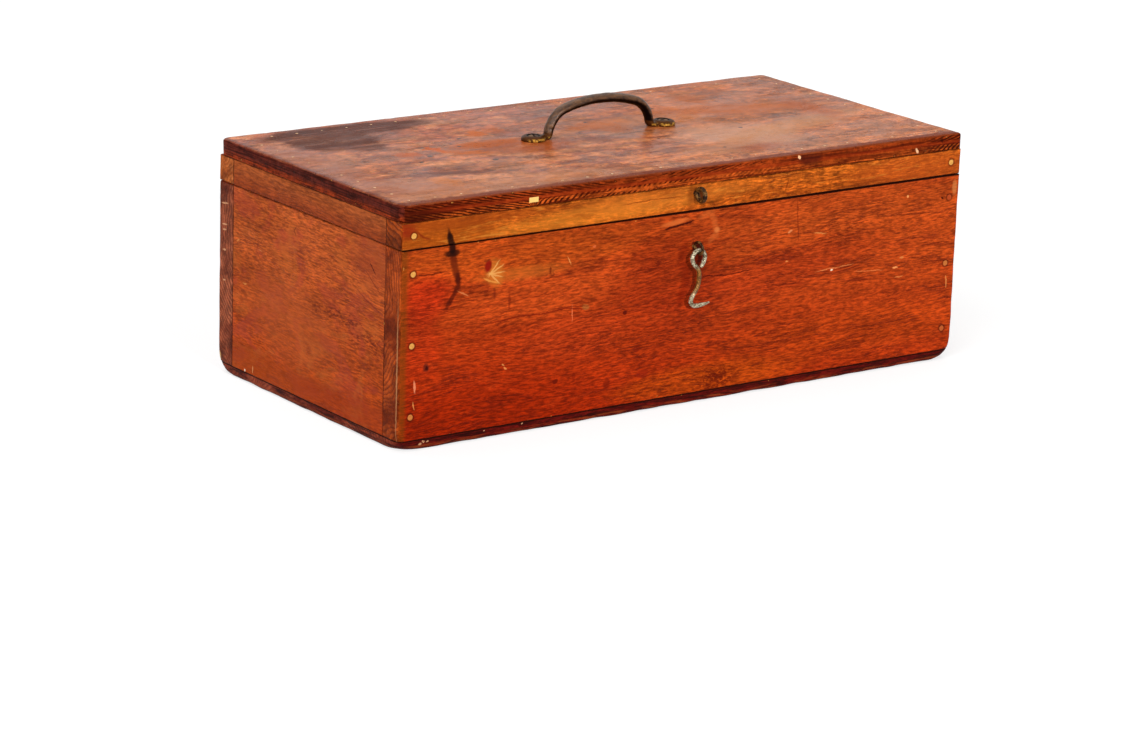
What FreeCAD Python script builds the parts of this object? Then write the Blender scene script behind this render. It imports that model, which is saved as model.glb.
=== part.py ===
import FreeCAD, Part
import math
import os

os.makedirs("parts", exist_ok=True)

# A carpenter's tool chest: a nailed and pegged board case on a thin bottom board, and a shallow
# boxed lid on two butt hinges, with a cast bow handle and a hook that swings up into a screw eye.
# Millimetres. X runs along the chest, +Y to the back, +Z up. The origin is the centre of the
# underside, where the chest rests.

# Case
case_length = 500.0
case_depth = 242.0
board_thickness = 20.0
board_height = 135.7
bottom_thickness = 7.5
bottom_edge_radius = 4.0
bottom_corner_radius = 7.0
arris_radius = 2.0
seam_bevel = 0.7

# Lid
parting_gap = 0.4
rail_height = 19.0
top_thickness = 12.0
top_edge_radius = 2.4
top_corner_radius = 6.0

# Split wooden pegs, eight-sided, through the long boards and rails into the end pieces
peg_diameter = 4.5
peg_sides = 8
peg_length = 42.0
peg_inset = 9.5
peg_above_brads = 2.9
peg_end_margin = 17.0
pegs_per_joint = 3
wood_fit = 0.03
hole_spare = 0.5

# Slim square pins through the top board into the rails
pin_width = 2.0
pin_grip = 6.5
pin_from_inner_face = 6.0
pin_spacing = 21.4

# Square cut brads through the bottom board into the case boards
brad_width = 1.8
brad_length = 19.0
brad_inset = 8.0
brad_spacing = 43.0
brad_recess = 0.3

# Bow handle, a little off the lid's middle
handle_offset = 7.0
handle_setback = 7.5
foot_spacing = 118.2
foot_radius = 9.2
foot_edge_height = 2.0
foot_crown_height = 3.9
foot_slope_radius = 8.0
foot_slope_height = 3.2
foot_flat_radius = 4.9
leg_spacing = 92.4
handle_rise = 25.8
crown_radius = 110.0
shoulder_radius = 21.0
grip_thickness = 7.0
grip_width = 9.4
leg_thickness = 6.2
leg_width = 8.4
heel_thickness = 7.8
heel_width = 9.4
neck_height = 3.0
grip_sides = 12
foot_sides = 24
crown_steps = 3
shoulder_steps = 5

# Slotted wood screws of the handle
handle_screw_head_diameter = 8.0
handle_screw_shank_diameter = 4.0
handle_screw_length = 11.0
handle_screw_sink = 0.4
slot_width = 1.0
slot_depth = 0.9
slot_turns = (65, 20)
screw_sides = 12

# Butt hinges
hinge_end_distance = 100.0
hinge_length = 50.0
leaf_width = 18.0
leaf_thickness = 1.5
knuckle_radius = 3.0
knuckle_count = 3
knuckle_sides = 16
knuckle_gap = 0.15
hinge_pin_radius = 1.5
hinge_pin_fit = 0.05
hinge_back_clearance = 0.2
leaf_swing_clearance = 0.3
mortise_clearance = 0.2
hinge_screw_spacing = 30.0
hinge_screw_head_diameter = 5.6
hinge_screw_shank_diameter = 2.8
hinge_screw_length = 12.5
metal_fit = 0.05

# Screw eyes and hook, of hammered eight-sided wire
wire_sides = 8
wire_step_angle = 18.0
eye_ring_radius = 4.4
eye_wire_radius = 1.1
eye_neck_radius = 1.6
eye_mouth_angle = 30.0
eye_shank_length = 0.8
eye_thread_width = 2.6
eye_thread_length = 11.0
hook_eye_below_parting = 26.1
catch_eye_above_parting = 12.8
hook_eye_lean = 11.0
hook_wire_radius = 1.6
hook_loop_radius = 5.6
hook_loop_play = 0.3
hook_neck_radius = 3.5
hook_loop_mouth_angle = 33.0
hook_shank_offset = 1.0
hook_elbow_height = 14.8
hook_elbow_radius = 13.0
hook_heel_offset = -8.6
hook_heel_radius = 3.4
hook_toe_length = 10.8
hook_toe_slope = 0.05
hook_taper_length = 6.5
hook_tip_radius = 0.75

# How far a cut runs past the face that it opens
overcut = 1.0

# Levels and faces worked out from the sizes above
board_bottom_z = bottom_thickness
board_top_z = board_bottom_z + board_height
rail_bottom_z = board_top_z + parting_gap
rail_top_z = rail_bottom_z + rail_height
lid_top_z = rail_top_z + top_thickness
front_y = -case_depth / 2
back_y = case_depth / 2
left_x = -case_length / 2
right_x = case_length / 2
inner_left_x = left_x + board_thickness
inner_right_x = right_x - board_thickness
inner_front_y = front_y + board_thickness
inner_back_y = back_y - board_thickness
parting_z = (board_top_z + rail_bottom_z) / 2
pin_inset = board_thickness - pin_from_inner_face
hook_eye_z = parting_z - hook_eye_below_parting
catch_eye_z = parting_z + catch_eye_above_parting

X_AXIS = FreeCAD.Vector(1, 0, 0)
Y_AXIS = FreeCAD.Vector(0, 1, 0)
Z_AXIS = FreeCAD.Vector(0, 0, 1)
TINY = 1e-6


def export(node, shape):
    shape.exportStep("parts/" + node + ".step")


def block(low, high):
    size = FreeCAD.Vector(*high) - FreeCAD.Vector(*low)
    return Part.makeBox(size.x, size.y, size.z, FreeCAD.Vector(*low))


def rod(start, direction, radius, length):
    return Part.makeCylinder(radius, length, start, direction)


def polygon_points(sides, corner_x, corner_y):
    """Corners of an even outline round the Z axis, a flat side towards X."""
    points = []
    for index in range(sides):
        angle = 2 * math.pi * (index + 0.5) / sides
        points.append(FreeCAD.Vector(corner_x * math.cos(angle), corner_y * math.sin(angle), 0))
    return points


def flat_face(points):
    return Part.Face(Part.makePolygon(points + points[:1]))


def skin(rings):
    """A solid through rings of points, with flat faces from each ring to the next."""
    faces = [flat_face(rings[0]), flat_face(rings[-1])]
    for near, far in zip(rings, rings[1:]):
        for index in range(len(near)):
            following = (index + 1) % len(near)
            quad = [near[index], near[following], far[following], far[index]]
            normal = (quad[1] - quad[0]).cross(quad[2] - quad[0])
            normal.normalize()
            if abs(normal.dot(quad[3] - quad[0])) < TINY:
                faces.append(flat_face(quad))
            else:
                faces.append(flat_face(quad[:3]))
                faces.append(flat_face([quad[0], quad[2], quad[3]]))
    solid = Part.makeSolid(Part.makeShell(faces))
    if solid.Volume < 0:
        solid.reverse()
    return solid


def turned_form(sides, profile):
    """A many-sided form about Z, from pairs of (corner radius, height) along its outside."""
    rings = []
    for radius, height in profile:
        rings.append([point + Z_AXIS * height for point in polygon_points(sides, radius, radius)])
    return skin(rings)


def ring_across(centre, side, along, sides, corner_side, corner_out):
    """Corner points round a centre line that runs along; side is square to it."""
    frame = FreeCAD.Placement(centre, FreeCAD.Rotation(side, along.cross(side), along, "XYZ"))
    return [frame.multVec(point) for point in polygon_points(sides, corner_side, corner_out)]


def turned(shape, start, direction):
    """Carry a shape from the origin and +Z to a start point and a direction."""
    shape.Placement = FreeCAD.Placement(start, FreeCAD.Rotation(Z_AXIS, direction))
    return shape


def stick(start, direction, sides, width, length):
    """A straight stick of polygon section, of the given width across its flats."""
    corner = width / 2 / math.cos(math.pi / sides)
    profile = flat_face(polygon_points(sides, corner, corner))
    return turned(profile.extrude(Z_AXIS * length), start, direction)


def group(solids):
    return solids[0] if len(solids) == 1 else Part.makeCompound(solids)


def at_plane(value, target):
    return abs(value - target) < TINY


def edges_where(shape, test):
    """Straight edges whose both ends pass the test."""
    chosen = []
    for edge in shape.Edges:
        ends = [vertex.Point for vertex in edge.Vertexes]
        if len(ends) == 2 and all(test(end) for end in ends):
            chosen.append(edge)
    return chosen


def evenly_spaced(low, high, spacing):
    """Positions from low to high, both ends included, as near the spacing as whole gaps allow."""
    gaps = max(1, round((high - low) / spacing))
    return [low + (high - low) * index / gaps for index in range(gaps + 1)]


def rectangle_of_points(inset, spacing):
    """Fastener positions along all four sides, one at each corner and none twice."""
    xs = evenly_spaced(left_x + inset, right_x - inset, spacing)
    ys = evenly_spaced(front_y + inset, back_y - inset, spacing)
    points = []
    for y in (ys[0], ys[-1]):
        points += [(x, y) for x in xs]
    for x in (xs[0], xs[-1]):
        points += [(x, y) for y in ys[1:-1]]
    return points


# Boards and rails ---------------------------------------------------------------------------

def long_piece(outer_y, inner_y, bottom_z, height):
    """A full-length front or back piece, its two upright outer corners eased."""
    low_y = min(outer_y, inner_y)
    high_y = max(outer_y, inner_y)
    piece = block((left_x, low_y, bottom_z), (right_x, high_y, bottom_z + height))

    def upright_corner(point):
        return at_plane(point.y, outer_y)

    corners = [edge for edge in edges_where(piece, upright_corner)
               if at_plane(edge.Vertexes[0].Point.x, edge.Vertexes[1].Point.x)]
    return piece.makeFillet(arris_radius, corners)


def end_piece(outer_x, inner_x, bottom_z, height):
    """An end piece, butted between the long pieces."""
    low_x = min(outer_x, inner_x)
    high_x = max(outer_x, inner_x)
    return block((low_x, inner_front_y, bottom_z), (high_x, inner_back_y, bottom_z + height))


def bevel_seam(piece, seam_z, outside):
    """A small bevel along the outer edge that meets the parting line or the top board."""
    def on_seam(point):
        return at_plane(point.z, seam_z) and outside(point)

    edges = [edge for edge in edges_where(piece, on_seam) if edge.Length > board_thickness]
    return piece.makeChamfer(seam_bevel, edges)


def slab(bottom_z, thickness, corner_radius, edge_radius, rounded_z):
    """A full-size bottom or top board: corners rounded in plan, one face's edge rounded over."""
    board = block((left_x, front_y, bottom_z), (right_x, back_y, bottom_z + thickness))
    uprights = [edge for edge in board.Edges
                if not at_plane(edge.Vertexes[0].Point.z, edge.Vertexes[1].Point.z)]
    board = board.makeFillet(corner_radius, uprights)
    rim = [edge for edge in board.Edges
           if all(at_plane(vertex.Point.z, rounded_z) for vertex in edge.Vertexes)]
    return board.makeFillet(edge_radius, rim)


# Pegs, pins and nails -----------------------------------------------------------------------

def peg_levels():
    """Heights of a corner's pegs, the lowest one clear above the brads."""
    low = brad_recess + brad_length + peg_above_brads + peg_diameter / 2
    high = board_top_z - peg_end_margin
    return [low + (high - low) * index / (pegs_per_joint - 1) for index in range(pegs_per_joint)]


def peg_row(face_y, inward, levels, width, length):
    pegs = []
    for x in (left_x + peg_inset, right_x - peg_inset):
        for z in levels:
            pegs.append(stick(FreeCAD.Vector(x, face_y, z), inward, peg_sides, width, length))
    return pegs


def pegs_and_holes(face_y, inward, levels):
    pegs = peg_row(face_y, inward, levels, peg_diameter, peg_length)
    holes = peg_row(face_y, inward, levels, peg_diameter + 2 * wood_fit, peg_length + hole_spare)
    return pegs, holes


def top_pins():
    pins = []
    holes = []
    length = top_thickness + pin_grip
    for x, y in rectangle_of_points(pin_inset, pin_spacing):
        start = FreeCAD.Vector(x, y, lid_top_z)
        pins.append(stick(start, -Z_AXIS, 4, pin_width, length))
        holes.append(stick(start, -Z_AXIS, 4, pin_width + 2 * wood_fit, length + hole_spare))
    return pins, holes


def bottom_brads():
    brads = []
    holes = []
    hole_length = brad_recess + brad_length + hole_spare
    for x, y in rectangle_of_points(brad_inset, brad_spacing):
        brads.append(stick(FreeCAD.Vector(x, y, brad_recess), Z_AXIS, 4, brad_width, brad_length))
        holes.append(stick(FreeCAD.Vector(x, y, 0), Z_AXIS, 4, brad_width + 2 * wood_fit,
                           hole_length))
    return brads, holes


# Wood screws --------------------------------------------------------------------------------

def countersunk(head_radius, shank_radius, head_height, length):
    """A countersunk screw pointing down -Z, its head's flat top at the origin."""
    return turned_form(screw_sides, [(head_radius, 0), (shank_radius, -head_height),
                                     (shank_radius, -length)])


def slotted_screw(head_radius, shank_radius, head_height, length, slot_turn):
    slot = block((-head_radius - overcut, -slot_width / 2, -slot_depth),
                 (head_radius + overcut, slot_width / 2, overcut))
    slot.rotate(FreeCAD.Vector(0, 0, 0), Z_AXIS, slot_turn)
    return countersunk(head_radius, shank_radius, head_height, length).cut(slot)


def screw_hole(head_radius, shank_radius, head_height, length):
    """What a screw cuts away, with its fit all round and open above the head."""
    hole = countersunk(head_radius + metal_fit, shank_radius + metal_fit, head_height,
                       length + hole_spare)
    mouth = turned_form(screw_sides, [(head_radius + metal_fit, 0),
                                      (head_radius + metal_fit, head_radius)])
    return hole.fuse(mouth)


def placed(shape, position, upside_down=False):
    copy = shape.copy()
    if upside_down:
        copy.rotate(FreeCAD.Vector(0, 0, 0), X_AXIS, 180)
    copy.translate(position)
    return copy


# Bow handle ---------------------------------------------------------------------------------

def handle_stations():
    """Centre line and section sizes from the middle of the grip down to the right heel."""
    leg_x = leg_spacing / 2
    crown_centre_z = handle_rise - crown_radius
    shoulder_x = leg_x - shoulder_radius
    shoulder_z = crown_centre_z + math.sqrt((crown_radius - shoulder_radius) ** 2 - shoulder_x ** 2)
    meeting_angle = math.atan2(shoulder_x, shoulder_z - crown_centre_z)
    stations = []
    for step in range(crown_steps + 1):
        angle = meeting_angle * step / crown_steps
        centre = FreeCAD.Vector(crown_radius * math.sin(angle), 0,
                                crown_centre_z + crown_radius * math.cos(angle))
        stations.append((centre, angle, grip_thickness, grip_width))
    for step in range(1, shoulder_steps):
        share = step / shoulder_steps
        angle = meeting_angle + (math.pi / 2 - meeting_angle) * share
        centre = FreeCAD.Vector(shoulder_x + shoulder_radius * math.sin(angle), 0,
                                shoulder_z + shoulder_radius * math.cos(angle))
        thickness = grip_thickness + (leg_thickness - grip_thickness) * share
        width = grip_width + (leg_width - grip_width) * share
        stations.append((centre, angle, thickness, width))
    stations.append((FreeCAD.Vector(leg_x, 0, 0), math.pi / 2, heel_thickness, heel_width))
    return stations


def grip_ring(centre, angle, thickness, width):
    """The bar's outline across its centre line, which runs at the angle below level."""
    along = FreeCAD.Vector(math.cos(angle), 0, -math.sin(angle))
    return ring_across(centre, Y_AXIS, along, grip_sides, width / 2, thickness / 2)


def handle_foot():
    """A round foot pad, sloped up from its rim to the flat round its screw."""
    return turned_form(foot_sides, [(foot_radius, 0), (foot_radius, foot_edge_height),
                                    (foot_slope_radius, foot_slope_height),
                                    (foot_flat_radius, foot_crown_height)])


def bow_handle():
    right_half = handle_stations()
    left_half = [(FreeCAD.Vector(-centre.x, 0, centre.z), -angle, thickness, width)
                 for centre, angle, thickness, width in right_half[:0:-1]]
    handle = skin([grip_ring(*station) for station in left_half + right_half])
    for side in (-1, 1):
        foot = handle_foot()
        foot.translate(FreeCAD.Vector(side * foot_spacing / 2, 0, 0))
        reach = sorted((side * leg_spacing / 2, side * foot_spacing / 2))
        neck = block((reach[0], -heel_width / 2, 0), (reach[1], heel_width / 2, neck_height))
        handle = handle.fuse([foot, neck])
    return handle.removeSplitter()


def handle_screw_tops():
    level = lid_top_z + foot_crown_height - handle_screw_sink
    return [FreeCAD.Vector(handle_offset + side * foot_spacing / 2, handle_setback, level)
            for side in (-1, 1)]


# Butt hinges --------------------------------------------------------------------------------

hinge_axis_y = back_y + knuckle_radius + hinge_back_clearance
hinge_centres = (left_x + hinge_end_distance, right_x - hinge_end_distance)


def knuckle_spans():
    pitch = hinge_length / knuckle_count
    spans = []
    for index in range(knuckle_count):
        low = -hinge_length / 2 + index * pitch
        spans.append((low + knuckle_gap / 2, low + pitch - knuckle_gap / 2))
    return spans


def hinge_leaf(plate_low_z, first_knuckle):
    """One leaf about its own pin axis, which runs along X through the origin."""
    own = knuckle_spans()[first_knuckle::2]
    other = knuckle_spans()[1 - first_knuckle::2]
    leaf = block((-hinge_length / 2, -leaf_width, plate_low_z),
                 (hinge_length / 2, 0, plate_low_z + leaf_thickness))
    for low, high in other:
        start = FreeCAD.Vector(low - knuckle_gap, 0, 0)
        leaf = leaf.cut(rod(start, X_AXIS, knuckle_radius + leaf_swing_clearance,
                            high - low + 2 * knuckle_gap))
    leaf = leaf.cut(block((-hinge_length, -knuckle_radius, -leaf_width),
                          (hinge_length, leaf_width, leaf_width)))
    arms = []
    for low, high in own:
        barrel = stick(FreeCAD.Vector(low, 0, 0), X_AXIS, knuckle_sides, 2 * knuckle_radius,
                       high - low)
        arm = block((low, -knuckle_radius, plate_low_z), (high, 0, plate_low_z + leaf_thickness))
        arms += [barrel, arm]
    leaf = leaf.fuse(arms)
    bore = stick(FreeCAD.Vector(-hinge_length, 0, 0), X_AXIS, knuckle_sides,
                 2 * (hinge_pin_radius + hinge_pin_fit), 2 * hinge_length)
    return leaf.cut(bore).removeSplitter()


def hinge_pin():
    return stick(FreeCAD.Vector(-hinge_length / 2, 0, 0), X_AXIS, knuckle_sides,
                 2 * hinge_pin_radius, hinge_length)


def hinge_screw_points(centre_x):
    """Two screws to a leaf, in the middle of its flat."""
    y = hinge_axis_y - (leaf_width + knuckle_radius) / 2
    return [(centre_x - hinge_screw_spacing / 2, y), (centre_x + hinge_screw_spacing / 2, y)]


def mortise(centre_x, low_z, high_z):
    half = hinge_length / 2 + mortise_clearance
    return block((centre_x - half, hinge_axis_y - leaf_width - mortise_clearance, low_z),
                 (centre_x + half, back_y + overcut, high_z))


# Screw eyes and hook ------------------------------------------------------------------------

def arc_stations(centre, radius, start_angle, end_angle):
    """Points (u, v) along an arc, each with the heading of the wire there, in degrees."""
    steps = math.ceil(abs(end_angle - start_angle) / wire_step_angle)
    quarter = math.copysign(90, end_angle - start_angle)
    stations = []
    for step in range(steps + 1):
        angle = start_angle + (end_angle - start_angle) * step / steps
        stations.append((centre[0] + radius * math.cos(math.radians(angle)),
                         centre[1] + radius * math.sin(math.radians(angle)), angle + quarter))
    return stations


def bend_stations(before, corner, after, radius):
    """The arc that rounds a corner between two straight runs."""
    arriving = math.degrees(math.atan2(corner[1] - before[1], corner[0] - before[0]))
    leaving = math.degrees(math.atan2(after[1] - corner[1], after[0] - corner[0]))
    turn = (leaving - arriving + 180) % 360 - 180
    trim = radius * math.tan(math.radians(abs(turn)) / 2)
    inward = math.radians(arriving + math.copysign(90, turn))
    heading = math.radians(arriving)
    centre = (corner[0] - trim * math.cos(heading) + radius * math.cos(inward),
              corner[1] - trim * math.sin(heading) + radius * math.sin(inward))
    start_angle = arriving - math.copysign(90, turn)
    return arc_stations(centre, radius, start_angle, start_angle + turn)


def ring_on_shank(ring_radius, neck_radius, shank_u, mouth_angle):
    """A ring centred on (0, 0), the neck that leads it into a shank along u = shank_u towards
    -v, and the v at which the straight shank begins.

    The neck is a small arc tangent to the ring and to the shank. The ring's free end stops
    mouth_angle short of the shank's side of the ring."""
    neck_u = shank_u - neck_radius
    neck_v = -math.sqrt((ring_radius + neck_radius) ** 2 - neck_u ** 2)
    meeting = math.degrees(math.atan2(neck_v, neck_u)) % 360
    ring = arc_stations((0, 0), ring_radius, mouth_angle - 90, meeting)
    neck = arc_stations((neck_u, neck_v), neck_radius, meeting - 180, 0)
    return ring + neck[1:], neck_v


def bent_wire(origin, u_axis, v_axis, stations):
    """Wire through stations (u, v, heading, radius) of the plane with the two given axes."""
    side = u_axis.cross(v_axis)
    rings = []
    for u, v, heading, radius in stations:
        angle = math.radians(heading)
        along = u_axis * math.cos(angle) + v_axis * math.sin(angle)
        centre = origin + u_axis * u + v_axis * v
        rings.append(ring_across(centre, side, along, wire_sides, radius, radius))
    return skin(rings)


def eye_path():
    """The eye's centre line from its mouth to the wood, and the ring's distance from the wood."""
    path, neck_v = ring_on_shank(eye_ring_radius, eye_neck_radius, 0, eye_mouth_angle)
    wood_v = neck_v - eye_shank_length
    path.append((0, wood_v, -90))
    return path, -wood_v


def eye_screw(centre_z, lean):
    """A screw eye standing out of the front, its ring in an upright plane square to the front."""
    path, eye_standoff = eye_path()
    centre = FreeCAD.Vector(0, front_y - eye_standoff, centre_z)
    stations = [(u, v, heading, eye_wire_radius) for u, v, heading in path]
    wire = bent_wire(centre, Z_AXIS, -Y_AXIS, stations)
    thread = stick(centre + Y_AXIS * eye_standoff, Y_AXIS, wire_sides, eye_thread_width,
                   eye_thread_length)
    eye = wire.fuse(thread).removeSplitter()
    eye.rotate(centre, Y_AXIS, -lean)
    return eye


def eye_hole(centre_z):
    corner_radius = eye_thread_width / 2 / math.cos(math.pi / wire_sides)
    return rod(FreeCAD.Vector(0, front_y, centre_z), Y_AXIS, corner_radius + metal_fit,
               eye_thread_length + hole_spare)


def hook():
    """The hook hangs straight down, its loop closed round the lower screw eye's ring.

    It is as long as it has to be for its toe to reach the middle of the catch eye's ring."""
    pivot_drop = eye_ring_radius - eye_wire_radius - hook_wire_radius - hook_loop_play
    pivot_z = hook_eye_z - pivot_drop
    reach = catch_eye_z - pivot_z
    eye_standoff = eye_path()[1]
    loop_centre = FreeCAD.Vector(0, front_y - eye_standoff, pivot_z - hook_loop_radius)
    path, neck_v = ring_on_shank(hook_loop_radius, hook_neck_radius, hook_shank_offset,
                                 hook_loop_mouth_angle)
    toe_v = hook_loop_radius - reach
    top = (hook_shank_offset, neck_v)
    elbow = (hook_shank_offset, toe_v + hook_elbow_height)
    heel = (hook_heel_offset, toe_v + hook_toe_slope * hook_heel_offset)
    toe_end = (hook_toe_length, toe_v + hook_toe_slope * hook_toe_length)
    path += bend_stations(top, elbow, heel, hook_elbow_radius)
    path += bend_stations(elbow, heel, toe_end, hook_heel_radius)
    stations = [(u, v, heading, hook_wire_radius) for u, v, heading in path]
    toe_heading = path[-1][2]
    taper_u = toe_end[0] - hook_taper_length * math.cos(math.radians(toe_heading))
    taper_v = toe_end[1] - hook_taper_length * math.sin(math.radians(toe_heading))
    stations.append((taper_u, taper_v, toe_heading, hook_wire_radius))
    stations.append((toe_end[0], toe_end[1], toe_heading, hook_tip_radius))
    return bent_wire(loop_centre, X_AXIS, Z_AXIS, stations)


# Build and export ---------------------------------------------------------------------------

def drill(piece, holes):
    """Cut the holes that reach a piece out of it."""
    near = [hole for hole in holes if hole.BoundBox.intersect(piece.BoundBox)]
    return piece.cut(near) if near else piece


def build_fasteners():
    fasteners = {}
    fasteners["case_front_pegs"], front_holes = pegs_and_holes(front_y, Y_AXIS, peg_levels())
    fasteners["case_back_pegs"], back_holes = pegs_and_holes(back_y, -Y_AXIS, peg_levels())
    rail_middle = [(rail_bottom_z + rail_top_z) / 2]
    lid_front, lid_front_holes = pegs_and_holes(front_y, Y_AXIS, rail_middle)
    lid_back, lid_back_holes = pegs_and_holes(back_y, -Y_AXIS, rail_middle)
    fasteners["lid_rail_pegs"] = lid_front + lid_back
    fasteners["top_board_pins"], pin_holes = top_pins()
    fasteners["bottom_brads"], brad_holes = bottom_brads()
    holes = front_holes + back_holes + lid_front_holes + lid_back_holes + pin_holes + brad_holes
    return fasteners, holes


def build_hinges():
    """Both hinges and their screws, with the mortises and screw holes they need."""
    case_plate_z = board_top_z - leaf_thickness - parting_z
    lid_plate_z = rail_bottom_z - parting_z
    screw_sizes = (hinge_screw_head_diameter / 2, hinge_screw_shank_diameter / 2,
                   leaf_thickness - metal_fit, hinge_screw_length)
    screw = countersunk(*screw_sizes)
    hole = screw_hole(*screw_sizes)
    parts = {"hinge_case_leaves": [], "hinge_lid_leaves": [], "hinge_pins": [],
             "hinge_case_screws": [], "hinge_lid_screws": []}
    cuts = []
    for centre_x in hinge_centres:
        pin_place = FreeCAD.Vector(centre_x, hinge_axis_y, parting_z)
        cuts.append(mortise(centre_x, board_top_z - leaf_thickness, board_top_z))
        cuts.append(mortise(centre_x, rail_bottom_z, rail_bottom_z + leaf_thickness))
        case_holes = []
        lid_holes = []
        for x, y in hinge_screw_points(centre_x):
            case_spot = FreeCAD.Vector(x, y, board_top_z - metal_fit)
            lid_spot = FreeCAD.Vector(x, y, rail_bottom_z + metal_fit)
            parts["hinge_case_screws"].append(placed(screw, case_spot))
            parts["hinge_lid_screws"].append(placed(screw, lid_spot, True))
            case_holes.append(placed(hole, case_spot))
            lid_holes.append(placed(hole, lid_spot, True))
        case_leaf = placed(hinge_leaf(case_plate_z, 0), pin_place)
        lid_leaf = placed(hinge_leaf(lid_plate_z, 1), pin_place)
        parts["hinge_case_leaves"].append(case_leaf.cut(case_holes))
        parts["hinge_lid_leaves"].append(lid_leaf.cut(lid_holes))
        parts["hinge_pins"].append(placed(hinge_pin(), pin_place))
        cuts += case_holes + lid_holes
    return parts, cuts


def build_handle():
    screw_sizes = (handle_screw_head_diameter / 2, handle_screw_shank_diameter / 2,
                   (handle_screw_head_diameter - handle_screw_shank_diameter) / 2,
                   handle_screw_length)
    handle = placed(bow_handle(), FreeCAD.Vector(handle_offset, handle_setback, lid_top_z))
    screws = []
    cuts = []
    for top, slot_turn in zip(handle_screw_tops(), slot_turns):
        screws.append(placed(slotted_screw(*screw_sizes, slot_turn), top))
        cuts.append(placed(screw_hole(*screw_sizes), top))
    return {"lid_handle": [handle.cut(cuts)], "handle_screws": screws}, cuts


def build_boards():
    front_board = long_piece(front_y, inner_front_y, board_bottom_z, board_height)
    back_board = long_piece(back_y, inner_back_y, board_bottom_z, board_height)
    front_rail = long_piece(front_y, inner_front_y, rail_bottom_z, rail_height)
    back_rail = long_piece(back_y, inner_back_y, rail_bottom_z, rail_height)
    left_end = end_piece(left_x, inner_left_x, board_bottom_z, board_height)
    right_end = end_piece(right_x, inner_right_x, board_bottom_z, board_height)
    left_rail = end_piece(left_x, inner_left_x, rail_bottom_z, rail_height)
    right_rail = end_piece(right_x, inner_right_x, rail_bottom_z, rail_height)

    def at_front(point):
        return at_plane(point.y, front_y)

    def at_back(point):
        return at_plane(point.y, back_y)

    def at_left(point):
        return at_plane(point.x, left_x)

    def at_right(point):
        return at_plane(point.x, right_x)

    boards = {}
    for node, board, outside in (("case_front_board", front_board, at_front),
                                 ("case_back_board", back_board, at_back),
                                 ("case_left_end", left_end, at_left),
                                 ("case_right_end", right_end, at_right)):
        boards[node] = bevel_seam(board, board_top_z, outside)
    for node, rail, outside in (("lid_front_rail", front_rail, at_front),
                                ("lid_back_rail", back_rail, at_back),
                                ("lid_left_rail", left_rail, at_left),
                                ("lid_right_rail", right_rail, at_right)):
        rail = bevel_seam(rail, rail_bottom_z, outside)
        boards[node] = bevel_seam(rail, rail_top_z, outside)
    boards["bottom_board"] = slab(0, bottom_thickness, bottom_corner_radius,
                                  bottom_edge_radius, 0)
    boards["lid_top_board"] = slab(rail_top_z, top_thickness, top_corner_radius,
                                   top_edge_radius, lid_top_z)
    return boards


fasteners, fastener_holes = build_fasteners()
hinge_parts, hinge_cuts = build_hinges()
handle_parts, handle_cuts = build_handle()
eye_holes = [eye_hole(hook_eye_z), eye_hole(catch_eye_z)]
all_cuts = fastener_holes + hinge_cuts + handle_cuts + eye_holes

for node, board in build_boards().items():
    export(node, drill(board, all_cuts))
for node, solids in {**fasteners, **hinge_parts, **handle_parts}.items():
    export(node, group(solids))
export("hook_screw_eye", eye_screw(hook_eye_z, hook_eye_lean))
export("catch_screw_eye", eye_screw(catch_eye_z, 0))
export("hook", hook())
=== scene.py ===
import math
import random

import bpy
from mathutils import Matrix, Vector, noise


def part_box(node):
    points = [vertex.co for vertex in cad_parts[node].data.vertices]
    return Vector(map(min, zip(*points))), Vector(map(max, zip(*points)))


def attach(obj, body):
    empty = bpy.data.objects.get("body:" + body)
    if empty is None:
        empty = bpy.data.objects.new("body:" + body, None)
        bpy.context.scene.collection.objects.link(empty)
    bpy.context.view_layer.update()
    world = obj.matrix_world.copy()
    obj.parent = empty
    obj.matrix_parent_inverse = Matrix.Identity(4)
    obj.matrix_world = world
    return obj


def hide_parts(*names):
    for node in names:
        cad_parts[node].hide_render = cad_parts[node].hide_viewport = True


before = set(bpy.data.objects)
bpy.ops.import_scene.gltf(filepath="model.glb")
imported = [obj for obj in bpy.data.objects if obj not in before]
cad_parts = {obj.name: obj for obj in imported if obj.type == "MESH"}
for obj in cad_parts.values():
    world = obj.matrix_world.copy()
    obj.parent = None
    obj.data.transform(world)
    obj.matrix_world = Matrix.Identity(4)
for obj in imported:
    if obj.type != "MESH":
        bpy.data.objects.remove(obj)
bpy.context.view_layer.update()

# A worn carpenter's tool chest in varnished wood. The frame's pieces are dressed with denser
# meshes: boards with rubbed edges, round pegs, a cast handle and a hammered hook. Mesh code
# works in millimetres, in the frame's own axes, and turns them into metres when it adds a mesh.

MM = 0.001

# The camera, in millimetres and degrees
CAMERA_PLACE = Vector((-1691.0, -2298.0, 804.5))
CAMERA_AZIMUTH = -36.02
CAMERA_ELEVATION = 15.97
CAMERA_ROLL = 1.87
IMAGE_WIDTH = 1134
FOCAL_PIXELS = 3962.0
SENSOR_WIDTH = 36.0

# Light
AMBIENT = 0.25
FLOOR_GAP = 0.3
FLOOR_SIZE = 30.0
FLOOR_SHADE = 0.6
SEEN_FLOOR_SHADE = 0.42
SEEN_FLOOR_GLOW = 0.68

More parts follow.
